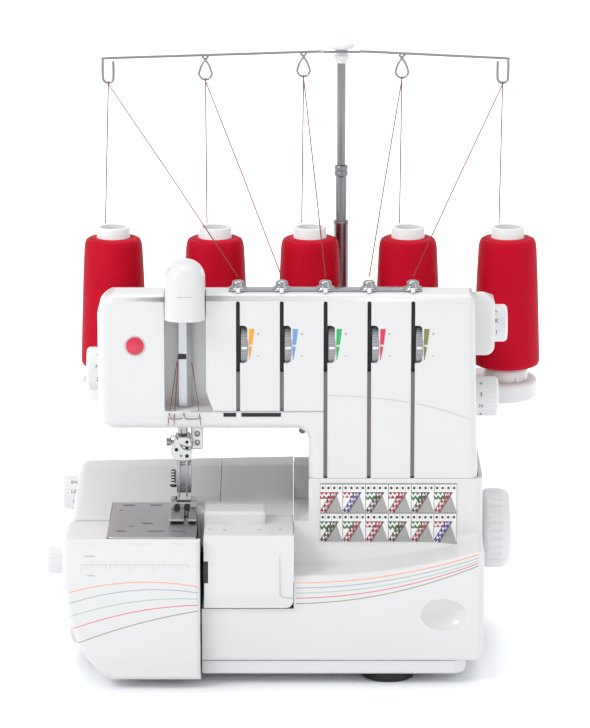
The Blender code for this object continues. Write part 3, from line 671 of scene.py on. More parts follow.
def chart_sheet():
    """A thin printed sheet that lies on the cover and follows it where the ledge begins."""
    rings = []
    columns, rows = 40, 40
    mesh = bmesh.new()
    left, right, low, high = CHART
    grid = []
    for i in range(columns + 1):
        x = left + (right - left) * i / columns
        ring = [Vector(p) for p in main_profile(x, 0)]
        line = []
        for j in range(rows + 1):
            z = low + (high - low) * j / rows
            y = -90.0
            for a, b in zip(ring, ring[1:]):
                if min(a.z, b.z) <= z <= max(a.z, b.z) and a.z != b.z and max(a.y, b.y) < 0:
                    y = min(y, a.y + (b.y - a.y) * (z - a.z) / (b.z - a.z))
            line.append((x, y, z))
        grid.append(line)
    for lift in (-0.35, 0.1):
        rings.append([[mesh.verts.new((x, y + lift, z)) for x, y, z in line] for line in grid])
    front, back = rings
    for i in range(columns):
        for j in range(rows):
            mesh.faces.new((front[i][j], front[i + 1][j], front[i + 1][j + 1], front[i][j + 1]))
            mesh.faces.new((back[i][j], back[i][j + 1], back[i + 1][j + 1], back[i + 1][j]))
    for i in range(columns):
        mesh.faces.new((front[i][0], back[i][0], back[i + 1][0], front[i + 1][0]))
        mesh.faces.new((front[i][rows], front[i + 1][rows], back[i + 1][rows], back[i][rows]))
    for j in range(rows):
        mesh.faces.new((front[0][j], front[0][j + 1], back[0][j + 1], back[0][j]))
        mesh.faces.new((front[columns][j], back[columns][j], back[columns][j + 1], front[columns][j + 1]))
    bmesh.ops.recalc_face_normals(mesh, faces=mesh.faces)
    return mesh


fit(shape("stitch_chart", chart_sheet(), chart_finish()), "machine", "shell_white")

# ------------------------------------------------------------------ rear cover
# A flat white moulding closes the back of the base. It is held by four screws and has a row of slots that
# let the motor's warm air out.

x0, x1, y0, y1, z0, z1 = span("rear_cover")
rear_corners = [
    (x0, z0, 4), (x1, z0, 6), (x1 - 4, z1, 6), (column_left, z1, 4), (column_left, 114), (x0, 114, 3)
]
outline = rounded(rear_corners)
rear = shape("rear_cover_moulding", prism(outline, "y", y0, y1, rims=(0, 2.5)), SHELL_WHITE)
changes = [cut(prism(drawn_in(rear_corners, 3), "y", y0 - 5, y1 - 3))]
for k in range(7):
    slot = rounded(four_corners(40 + 9 * k, 44 + 9 * k, 40, 70, 1.9), 5)
    changes.append(cut(prism(slot, "y", y0 - 5, y1 + 5)))
fit(carve(rear, *changes), "machine", "shell_white", "rear_cover")


def screw(name, place_at, axis, radius, body, slot="chrome"):
    """A round-headed screw with a cross in its head; it faces along the axis' low side."""
    head = [(0, 0), (radius * 0.5, 0), (radius * 0.85, 0.25), (radius, 0.8), (radius, 1.3), (0, 1.3)]
    facing = 1 if axis[1] == "-" else -1
    profile = [(r, facing * h) for r, h in head]
    obj = shape(name, turned(profile, axis[0], place_at, 24), CHROME)
    deep, wide = 0.5, radius * 0.6
    arms = []
    for along in [a for a in "xyz" if a != axis[0]]:
        half = Vector((0.28, 0.28, 0.28))
        half["xyz".index(along)] = wide
        half["xyz".index(axis[0])] = deep
        low, high = Vector(place_at) - half, Vector(place_at) + half
        arms.append(block((low.x, high.x), (low.y, high.y), (low.z, high.z)))
    return fit(carve(obj, *[cut(arm) for arm in arms]), body, slot)


for k, (x, z) in enumerate([(6, 26), (134, 26), (6, 146), (131, 146)]):
    screw("rear_cover_screw_%d" % (k + 1), (x, y1 + 0.3, z), "y+", 3, "machine")


# ------------------------------------------------------------------ bed covers
# Two white mouldings meet at a fine joint behind the foot and make the bed. Behind the needle plate the bed
# swells up gently, and its left rear corner is rounded over; both are screwed to the frame from below.

bed = span("bed_cover")
bed_left, bed_back, bed_low, bed_top = bed[0], bed[3], bed[4], bed[5]
plate = span("needle_plate")
gap = 0.3


def bed_profile(x, depth):
    """The bed's side outline at X: flat at the plate, then a swell that is a little higher on the right."""
    swell = bed_top - 3.5 + 3.5 * (x - bed_left) / 170
    front = [(-95, bed_low), (-95, bed_height), (-30, bed_height, 40), (34, swell, 50), (bed_back, swell, 22)]
    return [(x, p.x, p.y) for p in drawn_in(front + [(bed_back, bed_low)], depth, 8)]


def bed_block(left, right, rim):
    """The bed as a loft along X, rounded over at its left end."""
    turns = [math.pi / 12 * k for k in range(6)] if rim else []
    stations = [(left + rim - rim * math.cos(a), rim * (1 - math.sin(a))) for a in turns]
    stations += [(left + rim + (right - left - rim) * k / 8, 0) for k in range(9)]
    return solid([bed_profile(x, depth) for x, depth in stations])


plan = [(bed_left - 5, -85.7), (plate[0] - gap, -85.7), (plate[0] - gap, plate[3] + gap)]
plan += [(-58.2, plate[3] + gap), (-58.2, 90), (bed_left - 5, 90)]
corner = four_corners(bed_left, -40, -90, bed_back, 0, 0, 0, 24)
room = [
    (bed_left + 3, -82.7), (-144.5, -82.7), (-144.5, -31.5), (-50, -31.5), (-50, 77), (bed_left + 3, 77, 21)
]
left_bed = shape("bed_left_moulding", bed_block(bed_left, -40, 8), SHELL_WHITE)
left_bed = carve(
    left_bed,
    keep(prism(rounded(plan), "z", bed_low, 150)),
    keep(prism(rounded(corner, 12), "z", bed_low, 150)),
    cut(prism(rounded(room), "z", 5, bed_height - 3)),
    cut(block((-138, -50), (-40, -25), (30, 100))),
)
fit(left_bed, "machine", "shell_white", "bed_cover")

plan = [
    (-57.8, 90), (body_left - gap, 90), (body_left - gap, -74 + gap), (-73.7, -74 + gap), (-73.7, -34.7),
    (-57.8, -34.7),
]
inside = [(-66, 77), (10, 77), (10, -70.7), (-70.7, -70.7), (-70.7, -37.7), (-66, -37.7)]
right_bed = shape("bed_right_moulding", bed_block(-80, 5, 0), SHELL_WHITE)
right_bed = carve(
    right_bed,
    keep(prism(plan, "z", bed_low, 150)),
    cut(prism(inside, "z", 5, bed_height - 3)),
    cut(block((-80, 10), (-80, -20), (5, 100))),
)
fit(right_bed, "machine", "shell_white", "bed_rear_cover")

# ------------------------------------------------------------------ needle plate, feed dog, knives, loopers
# The ground steel plate is held by screws and shows its grain lengthways; the toothed feed dog works in its
# slots. The fixed lower knife and the moving upper knife cut at its right edge, and two plated loopers
# swing below.

x0, x1, y0, y1, z0, z1 = plate
outline = rounded(four_corners(x0, x1, y0, y1, 4, 1, 1, 4))
steel_plate = shape("needle_plate_ground", prism(outline, "z", z0, z1, rims=(0, 0.6)), GROUND_STEEL)
holes = [block((-96, -93), (-74, -46), (110, 125)), block((-79.5, -76.5), (-74, -46), (110, 125))]
holes += [block((-92, -80), (-60, -54), (110, 125)), block((-99.3, -98.9), (y0 - 1, -75), (z1 - 0.5, z1 + 1))]
holes += [block((-99.3, -60), (-75.2, -74.8), (z1 - 0.5, z1 + 1))]
for x, y, long in (
    (-128, -44, 2), (-107, -44, 2), (-131, -118, 1), (-105, -118, 4), (-87, -118, 4), (-112, -96, 2)
):
    hole = rounded(four_corners(x - 3 - long, x + 3 + long, y - 2.2, y + 2.2, 2.1))
    holes.append(prism(hole, "z", z1 - 1.2, z1 + 1))
steel_plate = carve(steel_plate, *[cut(hole) for hole in holes])
fit(steel_plate, "machine", "brushed_steel", "needle_plate")
for k, (x, y) in enumerate([(-124, -104), (-84, -104), (-133, -58)]):
    screw("needle_plate_screw_%d" % (k + 1), (x, y, z1 + 0.25), "z+", 2.8, "machine")

x0, x1, y0, y1, z0, z1 = span("feed_dog")
teeth = [Vector((y0, z0)), Vector((y1, z0)), Vector((y1, z1 - 1))]
for k in range(20):
    y = y1 - (y1 - y0) * k / 20
    teeth += [Vector((y - 0.3, z1 - 1)), Vector((y - (y1 - y0) / 20 + 0.2, z1))]
dog = shape("feed_dog_toothed", prism(teeth + [Vector((y0, z1 - 1))], "x", x0, x1), GROUND_STEEL, 20)
dog = carve(dog, cut(block((-92.5, -80), (-90, -47), (100, 120))), angle=20)
fit(dog, "feed_bar", "brushed_steel", "feed_dog")
finish(GROUND_STEEL, "lower_knife", "upper_knife")
finish(CHROME, "lower_looper", "upper_looper")


# ------------------------------------------------------------------ cloth plate
# The left front cover swings out on an upright hinge at its left rear corner. It is one white moulding with
# a rounded lower left corner, the same five printed lines as the main cover, and a faint ruler printed
# along its top.

x0, x1, y0, y1, z0, z1 = span("cloth_plate")
cloth_white = moulded("cloth_plate_white", **SHELL)
cloth_heights = [
    (76.5, 84.3, 80.8), (67.9, 77.9, 76.1), (57.6, 69.0, 71.2), (47.3, 61.0, 66.4), (34.5, 51.0, 61.8)
]
printed_lines(cloth_white, LINE_COLOURS, (x0 + 5.5, -121.5, -73), cloth_heights)


def lower_corner(depth):
    """The quarter curve from the left side down to the bottom edge, moved inwards by depth."""
    control = [Vector((x0 + depth, 90)), Vector((x0 + 3 + depth, 24 + depth)), Vector((-138, z0 + depth))]
    return [
        (1 - t) ** 2 * control[0] + 2 * t * (1 - t) * control[1] + t * t * control[2]
        for t in (k / 16 for k in range(17))
    ]


outline = [Vector((x1, z0)), *rounded([(x1, z1), (x0, z1, 6), (x0, 91)])[:-1], *lower_corner(0)]
inner = [Vector((x1 + 5, z0 + 3)), Vector((x1 + 5, z1 - 2.6)), Vector((x0 + 3, z1 - 2.6)), *lower_corner(3)]
cloth = shape("cloth_plate_moulding", prism(outline, "y", y0, y1, rims=(4.5, 0), steps=8), cloth_white)
cloth = carve(
    cloth,
    cut(prism(inner, "y", y0 + 3, y1 + 5)),
    cut(block((plate[0] - gap, x1 + 5), (plate[2] - gap, y1 + 5), (z1 - 12, z1 + 8))),
    cut(block((x1 - 0.6, x1 + 1), (y0 - 1, y0 + 0.5), (z0 - 1, z1 + 1))),
)
fit(cloth, "left_cover", "shell_white", "cloth_plate")

# The ruler is a film of grey ink, too thin to feel.
ink = moulded("ruler_ink", (0.50, 0.50, 0.52), 0.4, shade=0.02)
marks = []
for k in range(23):
    x, tall = -160 + 3.6 * k, (5 if k % 5 == 0 else 2.6)
    marks.append(block((x, x + 0.35), (y0 - 0.06, y0 + 0.3), (98 - tall, 98)))
marks += [
    block((-160, -80), (y0 - 0.06, y0 + 0.3), (98, 98.35)),
    block((-158, -150), (y0 - 0.06, y0 + 0.3), (104, 105.4)),
]
marks.append(block((-156, -150), (y0 - 0.06, y0 + 0.3), (89, 90.2)))
fit(shape("ruler_marks", merged(marks), ink), "left_cover", "shell_white")

# ------------------------------------------------------------------ looper cover
# The white cover in front of the loopers is hinged along its lower edge. Its step holds the cloth beside
# the foot, and four small screws hold the guard under its top.

x0, x1, y0, y1, z0, z1 = span("looper_cover")
outline = rounded(four_corners(x0, x1, z0, bed_height, 1, 6, 2, 1))
side = rounded([(-132, 60), (-134.6, 72, 20), (-134.6, 96, 20), (-131.5, 118, 6), (y1, 118, 1), (y1, 60)], 8)
looper_front = shape("looper_cover_moulding", prism(outline, "y", y0, y1, rims=(2, 0)), SHELL_WHITE)
lip = rounded([(-99, 116), (-99, z1, 3), (y1, z1, 3), (y1, 116)])
hollow = shape("hollow", prism(rounded(four_corners(x0 + 2.5, x1 - 2.5, 50, 115)), "y", -140, -60))
hollow_side = [(-132, 45), (-134.6, 72, 20), (-134.6, 96, 20), (-131.5, 118, 6), (-60, 118), (-60, 45)]
hollow = carve(hollow, keep(prism(drawn_in(hollow_side, 2.6), "x", -80, 10)))
recess = rounded(four_corners(x1 - 10.5, x1 + 5, 70, 130, 5, 0, 0, 0))
looper_front = carve(
    looper_front,
    keep(prism(side, "x", x0 - 5, x1 + 5)),
    join(prism(lip, "x", x0, -22, rims=(0.5, 3))),
    cut(hollow),
    cut(block((x0 - 5, x1 - 2.5), (-126, -70), (50, 108))),
    cut(prism(recess, "y", y0 - 2, y0 + 1.6)),
    cut(block((x0 - 1, x0 + 3.4), (y0 - 2, y0 + 3.4), (82, 99))),
)
for k, (x, y) in enumerate([(-64, -112), (-53, -114), (-27, -114), (-11, -112)]):
    screw("looper_cover_screw_%d" % (k + 1), (x, y, bed_height + 0.1), "z+", 2.3, "front_cover")
fit(looper_front, "front_cover", "shell_white", "looper_cover")
latch_black = moulded("latch_black", (0.02, 0.02, 0.022), 0.5, shade=0.008)
latch = block((x0 + 0.2, x0 + 3.2), (y0 + 0.9, y0 + 3.2), (82.3, 98.7))
fit(shape("looper_cover_latch", latch, latch_black), "front_cover", "rubber")


# ------------------------------------------------------------------ head cover
# One large white moulding makes the arm over the bed and the column at its right. The front has a deep
# channel for the take-up, five slots that the threads are drawn through, and a round-ended window beside
# each for its tension dial.

x0, x1, y0, y1, z0, z1 = span("head_cover")
arm_bottom, head_right, housing_right = 190, 139, x1
slots = [(span("tension_dial_%d" % k)[0] - 2.2) for k in range(1, 6)]
channel_left, channel_right, channel_back, channel_low = -98.6, -67, -68, 204

front_corners = [
    (x0, arm_bottom, 13), (column_left, arm_bottom, 10), (column_left, z0 - 12), (head_right, z0 - 12)
]
front_corners += [(head_right - 4, z1, 7), (x0 + 12, z1, 8), (x0, z1 - 13, 9)]
side_corners = [(y0, 120), (y0, z1, 9), (-58, z1, 60), (50, 256, 30), (y1, 232, 14), (y1, 120)]


def soft_prism(corners, axis, low, high, rims, wall=0, steps=6):
    """A prism through rounded corners whose ends are rounded over too, or the same shape inside its wall."""
    quarter = [math.pi / 2 * k / steps for k in range(steps + 1)]
    levels = [(rims[0] * (1 - math.sin(a)), low + rims[0] * (1 - math.cos(a))) for a in quarter]
    levels += [(rims[1] * (1 - math.sin(a)), high - rims[1] * (1 - math.cos(a))) for a in reversed(quarter)]
    if wall:
        levels = [(0, low + wall), (0, high - wall)]
    rings = []
    for depth, height in levels:
        rings.append([place(axis, p.x, p.y, height) for p in drawn_in(corners, depth + wall, 10)])
    return solid(rings)


def head_block(wall):
    whole = shape("head", soft_prism(front_corners, "y", y0, y1, (6, 8), wall))
    side = soft_prism(side_corners, "x", x0, head_right, (9, 6), wall)
    return carve(whole, keep(side), cut(block((-160, 160), (-100, 80), (z0 - 30, z0 + (-8 if wall else 0)))))


housing = [(122, 239.5), (housing_right, 239.5, 7), (housing_right, 282, 5), (housing_right - 9, 289.5, 6)]
housing = rounded([*housing, (122, 289.5)], 10)
housing_side = rounded([(-70, 230), (-70, 289.5), (-56, 289.5, 6), (50, 255, 30), (60, 230)], 8)
channel_outline = [(channel_left, 310), (channel_left, channel_low, 2), (-61.5, channel_low, 1.5)]
channel_outline = rounded([*channel_outline, (channel_right, 219, 16), (channel_right, 310)])
housing_block = shape("housing", prism(housing, "y", -58, 24, rims=(4, 4)))
housing_block = carve(housing_block, keep(prism(housing_side, "x", 110, housing_right + 5)))
hollow = carve(
    head_block(3),
    cut(block((channel_left - 3, channel_right + 8), (y0 - 5, channel_back + 3), (channel_low - 3, 300))),
)
head = carve(
    head_block(0),
    join(housing_block),
    cut(hollow),
    cut(prism(channel_outline, "y", y0 - 5, channel_back)),
    cut(block((136, housing_right - 3), (-41, 0), (242.5, 265))),
    cut(block((-79, 22), (y0 - 1, y0 + 0.7), (203.4, 204.6))),
    cut(block((-54.2, -44.4), (y0 - 1, y0 + 2), (199.8, 203))),
    cut(block((-40.6, -10.5), (y0 - 1, y0 + 2), (199.8, 203))),
    cut(rod(5.5, 180, 197, "z", (-86, -57, 0), 32)),
    cut(rod(5, 180, 197, "z", (-86, -40, 0), 32)),
)
cuts = []
for k, x in enumerate(slots):
    low = 204 if k < 2 else z0 - 5
    track = rounded(four_corners(x - 1.5, x + 1.5, low, 289, 0, 0, 1.4, 1.4), 4)
    window = rounded(four_corners(x - 0.2, x + 7, 241.5, 270.5, 1, 3, 3, 1))
    cuts += [cut(prism(track, "y", y0 - 5, y0 + 5)), cut(prism(window, "y", y0 - 5, y0 + 5))]
head = carve(head, *cuts)

# A shallow crease runs across the column and drops to the right.
crease = [Vector((24, 217)), Vector((70, 216)), Vector((100, 211)), Vector((134, 198))]
upper = [
    sum((c * math.comb(3, i) * t ** i * (1 - t) ** (3 - i) for i, c in enumerate(crease)), Vector((0, 0)))
    for t in (k / 20 for k in range(21))
]
crease_outline = [*upper, *[p - Vector((0, 0.7)) for p in reversed(upper)]]
head = carve(head, cut(prism(crease_outline, "y", y0 - 1, y0 + 0.35)))
head.data.materials.clear()
head.data.materials.append(SHELL_WHITE)
fit(head, "machine", "shell_white", "head_cover")

# ------------------------------------------------------------------ badge and front trim
# The badge is a plain red disc of enamelled metal in a pale ring, pressed into the head. A bright strip
# closes the joint along the arm, with two black rubber stops below it.

enamel = moulded("badge_red", (0.62, 0.012, 0.05), 0.25, relief=0.01, coat=0.6, shade=0.01)
badge_at = Vector((-120.5, y0, 254.8))
disc = [(0, -0.6), (6.2, -0.6), (6.7, -0.3), (6.8, 0.4), (0, 0.4)]
fit(shape("badge_disc", turned(disc, "y", badge_at, 48), enamel), "machine", "shell_white")
ring = [(7.0, -0.25), (7.9, -0.25), (8.1, 0), (8.1, 0.4), (7.0, 0.4)]
badge_ring = moulded("badge_ring", (0.55, 0.50, 0.50), 0.3)
fit(shape("badge_ring", turned(ring, "y", badge_at, 48), badge_ring), "machine", "shell_white")
trim_strip = block((-78.5, 21.5), (y0 + 0.25, y0 + 0.65), (203.5, 204.5))
fit(shape("arm_trim_strip", trim_strip, CHROME), "machine", "chrome")
for k, (left, right) in enumerate([(-54, -44.6), (-40.4, -10.7)]):
    stop = rounded(four_corners(left, right, 200, 202.8, 0.8), 4)
    stop = prism(stop, "y", y0 + 0.2, y0 + 1.8, rims=(0.4, 0))
    fit(shape("arm_stop_%d" % (k + 1), stop, RUBBER), "machine", "rubber")

# ------------------------------------------------------------------ tension dials
# Each dial is a ribbed grey wheel with a white index line, on a shaft across the head. A black guide lies
# behind its slot with a dull steel wiper below, and a coloured wedge and the signs for more and less are
# printed beside it.

WHEEL_GREY = moulded("tension_wheel_grey", (0.34, 0.34, 0.35), 0.45, relief=0.05, shade=0.03)
INDEX_WHITE = moulded("index_white", (0.82, 0.82, 0.83), 0.4)
GUIDE_BLACK = moulded("guide_black", (0.012, 0.012, 0.013), 0.5, shade=0.004)
WIPER_STEEL = metal("wiper_steel", (0.22, 0.20, 0.19), 0.4, stretch=(1, 1, 8), grain=160.0)
SIGN_GREY = moulded("sign_grey", (0.28, 0.28, 0.30), 0.45)
WEDGE_COLOURS = {
    "orange": (0.85, 0.36, 0.03), "blue": (0.16, 0.33, 0.62), "green": (0.02, 0.42, 0.12),
    "red": (0.70, 0.02, 0.09), "olive": (0.22, 0.20, 0.06),
}

for k, (x, colour) in enumerate(zip(slots, WEDGE_COLOURS)):
    node, body = "tension_dial_%d" % (k + 1), "tension_%d" % (k + 1)
    dx0, dx1, dy0, dy1, dz0, dz1 = span(node)
    radius, middle = (dy1 - dy0) / 2, Vector((0, (dy0 + dy1) / 2, (dz0 + dz1) / 2))
    ribs = []
    for i in range(120):
        turn = 2 * math.pi * i / 120
        reach = radius - (0.6 if i % 3 == 0 else 0)
        ribs.append(Vector((middle.y + reach * math.cos(turn), middle.z + reach * math.sin(turn))))
    wheel = prism(ribs, "x", dx0, dx1, rims=(0.5, 0.5), steps=3)
    fit(shape("tension_wheel_%d" % (k + 1), wheel, WHEEL_GREY, 30), body, "dial_grey", node)
    index = block((dx0 + 0.6, dx1 - 0.6), (dy0 - 0.05, dy0 + 0.7), (middle.z - 0.6, middle.z + 0.9))
    fit(shape("tension_index_%d" % (k + 1), index, INDEX_WHITE), body, "dial_white")
    low = 205 if k < 2 else z0 + 1
    guide = prism(four_corners(x - 1.9, x + 1.9, 232, 290), "y", y0 + 4.2, y0 + 5.2)
    fit(shape("slot_guide_%d" % (k + 1), guide, GUIDE_BLACK), "machine", "motor_black")
    wiper = block((x - 1.3, x + 1.3), (y0 + 1.4, y0 + 2.4), (low, 234.5))
    groove = block((x - 0.3, x + 0.3), (y0 + 1, y0 + 1.9), (low - 1, 240))
    fit(carve(shape("slot_wiper_%d" % (k + 1), wiper, WIPER_STEEL), cut(groove)), "machine", "brushed_steel")
    ink = moulded("wedge_" + colour, WEDGE_COLOURS[colour], 0.35)
    wedges = []
    for top, bottom, wide, narrow in ((268, 255.8, 4.2, 2.6), (254.2, 244, 2.4, 0.5)):
        points = [
            Vector((x + 8.2, top)), Vector((x + 8.2 + wide, top)), Vector((x + 8.2 + narrow, bottom)),
            Vector((x + 8.2, bottom)),
        ]
        wedges.append(prism(points, "y", y0 - 0.08, y0 + 0.5))
    fit(shape("tension_wedge_%d" % (k + 1), merged(wedges), ink), "machine", "dial_white")
    signs = [block((x + 14.2, x + 16.2), (y0 - 0.06, y0 + 0.4), (z - 0.25, z + 0.25)) for z in (264.2, 247.2)]
    signs.append(block((x + 14.95, x + 15.45), (y0 - 0.06, y0 + 0.4), (263.2, 265.2)))
    fit(shape("tension_signs_%d" % (k + 1), merged(signs), SIGN_GREY), "machine", "dial_grey")

# ------------------------------------------------------------------ take-up cover and face plate
# A domed white cap covers the take-up levers over the channel. Behind it a folded strip of satin aluminium
# guides the needle threads; it has a dark band and two wire hooks at its foot.

x0, x1, y0, y1, z0, z1 = span("take_up_cover")
dome_corners = [(x0, z0 - 12), (x1, z0 - 12), (x1 - 0.8, z1, 14.4), (x0 + 0.8, z1, 14.4)]
dome = shape("take_up_dome", soft_prism(dome_corners, "y", y0, y1, (12, 4), steps=9), SHELL_WHITE)
inner = [(x0 + 2.2, z0 - 20), (x1 - 2.2, z0 - 20), (x1 - 3, z1 - 2.5, 12), (x0 + 3, z1 - 2.5, 12)]
step_ring = four_corners(x0 - 5, x1 + 5, 295, 295.7)
dome = carve(
    dome,
    cut(soft_prism(inner, "y", y0 + 2.5, y1 - 2.2, (9, 2), steps=6)),
    cut(block((x0 - 5, x1 + 5), (y0 - 5, y1 + 5), (z0 - 40, z0))),
    cut(prism(step_ring, "y", y0 - 1, y0 + 0.6)),
)
fit(dome, "machine", "shell_white", "take_up_cover")

SATIN = metal("satin_aluminium", (0.62, 0.63, 0.65), 0.36, stretch=(14, 1, 1), grain=130.0)
x0, x1, y0, y1, z0, z1 = span("face_plate")
fold = [
    Vector(p)
    for p in ((x0, y0 + 1.2), (x0 + 1, y0 + 0.5), (x1 - 4, y0), (x1 - 0.4, y0 + 2.6), (x1, y1), (x0, y1))
]
face_plate = prism(fold, "z", z0, z1, rims=(0.4, 0.4), steps=2)
fit(shape("face_plate_folded", face_plate, SATIN, 15), "machine", "satin_aluminium", "face_plate")
band = block((x0 + 0.6, x1 - 4.2), (y0 - 0.15, y0 + 0.9), (241.8, 245.9))
fit(shape("face_plate_band", band, GUIDE_BLACK), "machine", "motor_black")


def wire(points, radius, closed=False, sides=10):
    """A round wire along a smooth path through the points."""
    path = []
    count = len(points)
    points = [Vector(p) for p in points]
    for i in range(count if closed else count - 1):
        a, b = points[(i - 1) % count if closed else max(i - 1, 0)], points[i]
        c, d = points[(i + 1) % count], points[(i + 2) % count if closed else min(i + 2, count - 1)]
        for t in (k / 6 for k in range(6)):
            bend, twist = a - 2.5 * b + 2 * c - d / 2, 1.5 * (b - c) + (d - a) / 2
            path.append(b + (c - a) * (t / 2) + bend * t * t + twist * t ** 3)
    if not closed:
        path.append(points[-1])
    rings, side = [], None
    for i, point in enumerate(path):
        before = path[i - 1] if closed or i else path[0]
        after = path[(i + 1) % len(path)] if closed or i < len(path) - 1 else path[-1]
        heading = (after - before).normalized()
        side = heading.orthogonal() if side is None else side - heading * side.dot(heading)
        side.normalize()
        across = heading.cross(side)
        turns = [2 * math.pi * k / sides for k in range(sides)]
        rings.append([point + (side * math.cos(a) + across * math.sin(a)) * radius for a in turns])
    return solid(rings, closed)


hooks = []
for x, reach in ((-95, 0), (-84, 3)):
    bend = [(x, -86, 203), (x, -91, 202), (x + 1, -93.5, 199.5), (x + 6, -93.8, 199)]
    hooks.append(wire([*bend, (x + 10 + reach, -93, 199.4)], 0.6))
fit(shape("thread_hooks", merged(hooks), CHROME), "machine", "chrome")

# ------------------------------------------------------------------ needle bar and clamp
# The plated needle bar slides through the arm. Socket screws in its clamp hold two needles side by side,
# and the clamp carries a thumb screw and small wire guides for the threads.

finish(CHROME, "needle_bar", "presser_bar")
x0, x1, y0, y1, z0, z1 = span("needle_clamp")
STEEL_BRIGHT = metal("clamp_steel", (0.62, 0.61, 0.60), 0.24, grain=90.0, relief=0.04)
clamp_corners = [
    (x0 + 2, z0 + 6, 3), (x0 + 6, z0, 2), (x1 - 2, z0, 2), (x1, z0 + 9, 2), (x1 - 2, z1, 3), (x0 + 6, z1, 3)
]
clamp = shape("needle_clamp_body", soft_prism(clamp_corners, "y", y0, y1, (0.8, 0.8), steps=3), STEEL_BRIGHT)
sockets = []
for right, up, radius in ((7, 9, 1.5), (10.5, 4.5, 1.3), (15, 4, 1.5), (15, 10, 1.4), (15, 15, 1.3)):
    sockets.append(cut(rod(radius, 0, 3.5, "y", (x0 + right, y0 - 0.5, z0 + up), 20)))
clamp = carve(clamp, cut(block((x0 - 1, x0 + 3), (y0 + 4, y1 - 4), (z0 - 1, z0 + 9))), *sockets)
fit(clamp, "needle_carriage", "chrome", "needle_clamp")
for k, (right, up) in enumerate([(7, 9), (15, 4), (15, 10), (15, 15)]):
    plug = rod(1.3, 0, 1, "y", (x0 + right, y0 + 1.6, z0 + up), 20)
    fit(shape("clamp_socket_%d" % (k + 1), plug, GUIDE_BLACK), "needle_carriage", "motor_black")
thumb = [(0, -4.5), (2.6, -4.5), (3, -4), (3, -1), (2.4, -0.6), (1.4, -0.6), (1.4, 3), (0, 3)]
thumb = turned(thumb, "x", (x0 + 3.5, -57, z0 + 13), 28)
fit(shape("clamp_thumb_screw", thumb, CHROME), "needle_carriage", "chrome")
guides = []
for bends in (
    [(4, 0, -3), (2, -3, -1), (4, -4.5, 2), (7, -3.5, 1), (8, 0, -2)],
    [(10, 0, -6), (12, -4, -8), (17, -4.5, -9), (19, -2, -7)],
):
    guides.append(wire([(x0 + x, y0 + y, z1 + z) for x, y, z in bends], 0.5))
fit(shape("clamp_thread_guides", merged(guides), CHROME), "needle_carriage", "chrome")
for side in ("left", "right"):
    x0, x1, y0, y1, z0, z1 = span("needle_" + side)
    stem = [
        (0, z0), (0.25, z0 + 1.2), (0.55, z0 + 3), (0.62, z0 + 6), (0.62, z0 + 19), (1.05, z0 + 21.5),
        (1.05, z1 - 0.4), (0.8, z1), (0, z1),
    ]
    middle = (x0 + x1) / 2
    needle = shape("needle_blade_" + side, turned(stem, "z", (middle, (y0 + y1) / 2, 0), 20), CHROME)
    eye = block((middle - 0.16, middle + 0.16), (y0 - 1, y1 + 1), (z0 + 4.2, z0 + 5.8))
    fit(carve(needle, cut(eye)), "needle_carriage", "chrome", "needle_" + side)

# ------------------------------------------------------------------ presser bar, ankle and foot
# The presser bar ends in a steel ankle with a black release lever and its coil spring. The foot clips on by
# a pin and has two slots that the threads form the stitches in; a white lever at the back of the arm lifts
# it.

collar_corners = four_corners(-80.2, -70.5, 163, 181, 1.5, 2, 3, 1.5)
collar = shape("presser_bar_collar", soft_prism(collar_corners, "y", -46, -35, (1, 1), steps=3), STEEL_BRIGHT)
round_face = [cut(rod(2.4, 0, 3, "y", (-75.2, -47, z), 24)) for z in (168.5, 175.5)]
arm = block((-84.5, -80), (-43, -37), (168, 174))
fit(carve(collar, *round_face, join(arm)), "presser", "chrome")
for k, z in enumerate((168.5, 175.5)):
    screw("presser_collar_screw_%d" % (k + 1), (-75.2, -44.9, z), "y-", 2.1, "presser")
ankle_face = four_corners(-91.4, -79.8, 134, 151, 1, 1, 1.5, 1.5)
ankle = soft_prism(ankle_face, "y", -47, -45.4, (0.5, 0), steps=3)
fit(shape("ankle_plate", ankle, GROUND_STEEL), "presser", "brushed_steel")
lever = [(-96.5, -44), (-95, -46.5), (-92, -46.5), (-91.2, -44)]
lever = prism(lever, "z", 133, 135, rims=(0.4, 0.4), steps=2)
fit(shape("release_lever", lever, GUIDE_BLACK), "presser", "motor_black")
turns = [math.pi / 4 * k for k in range(40)]
coil = [(-93.6 + 1.7 * math.cos(a), -43.5 + 1.7 * math.sin(a), 135.8 + 0.36 * a) for a in turns]
fit(shape("release_spring", wire(coil, 0.45, sides=8), GUIDE_BLACK), "presser", "motor_black")

x0, x1, y0, y1, z0, z1 = span("presser_foot")
sole = [
    (y0 + 0.2, z0 + 3.2, 1), (y0 + 4, z0 + 0.4, 2), (-53, z0 + 0.4, 0.6), (y1 - 0.2, 121, 1.4),
    (-51, 127.6, 1), (-66, 127.6, 2),
]
sole += [(-70, 123.6, 2), (-94, 121.8, 4)]
foot = shape("presser_foot_sole", soft_prism(sole, "x", x0, x1, (0.7, 0.7), steps=3), STEEL_BRIGHT)
toe_cut = rounded(four_corners(-84.5, -81, y0 - 3, -78, 0, 0, 1.6, 1.6))
foot = carve(
    foot,
    cut(block((-92, -80), (-61.5, -52.5), (110, 135))),
    cut(prism(toe_cut, "z", 110, 135)),
    cut(block((x0 + 5, x1 - 5), (-70, -48), (124.4, 135))),
    join(rod(1.2, x0 + 2, x1 - 2, "x", (0, -64, 125), 20)),
)
fit(foot, "foot", "brushed_steel", "presser_foot")
for k, x in enumerate((x0 + 5.2, x1 - 7.6)):
    boss = turned([(0, 0), (2, 0), (2.3, 0.4), (2.3, 2.4), (0, 2.4)], "y", (x, -73.5, 124.5), 24)
    fit(shape("foot_screw_%d" % (k + 1), boss, GUIDE_BLACK), "foot", "motor_black")
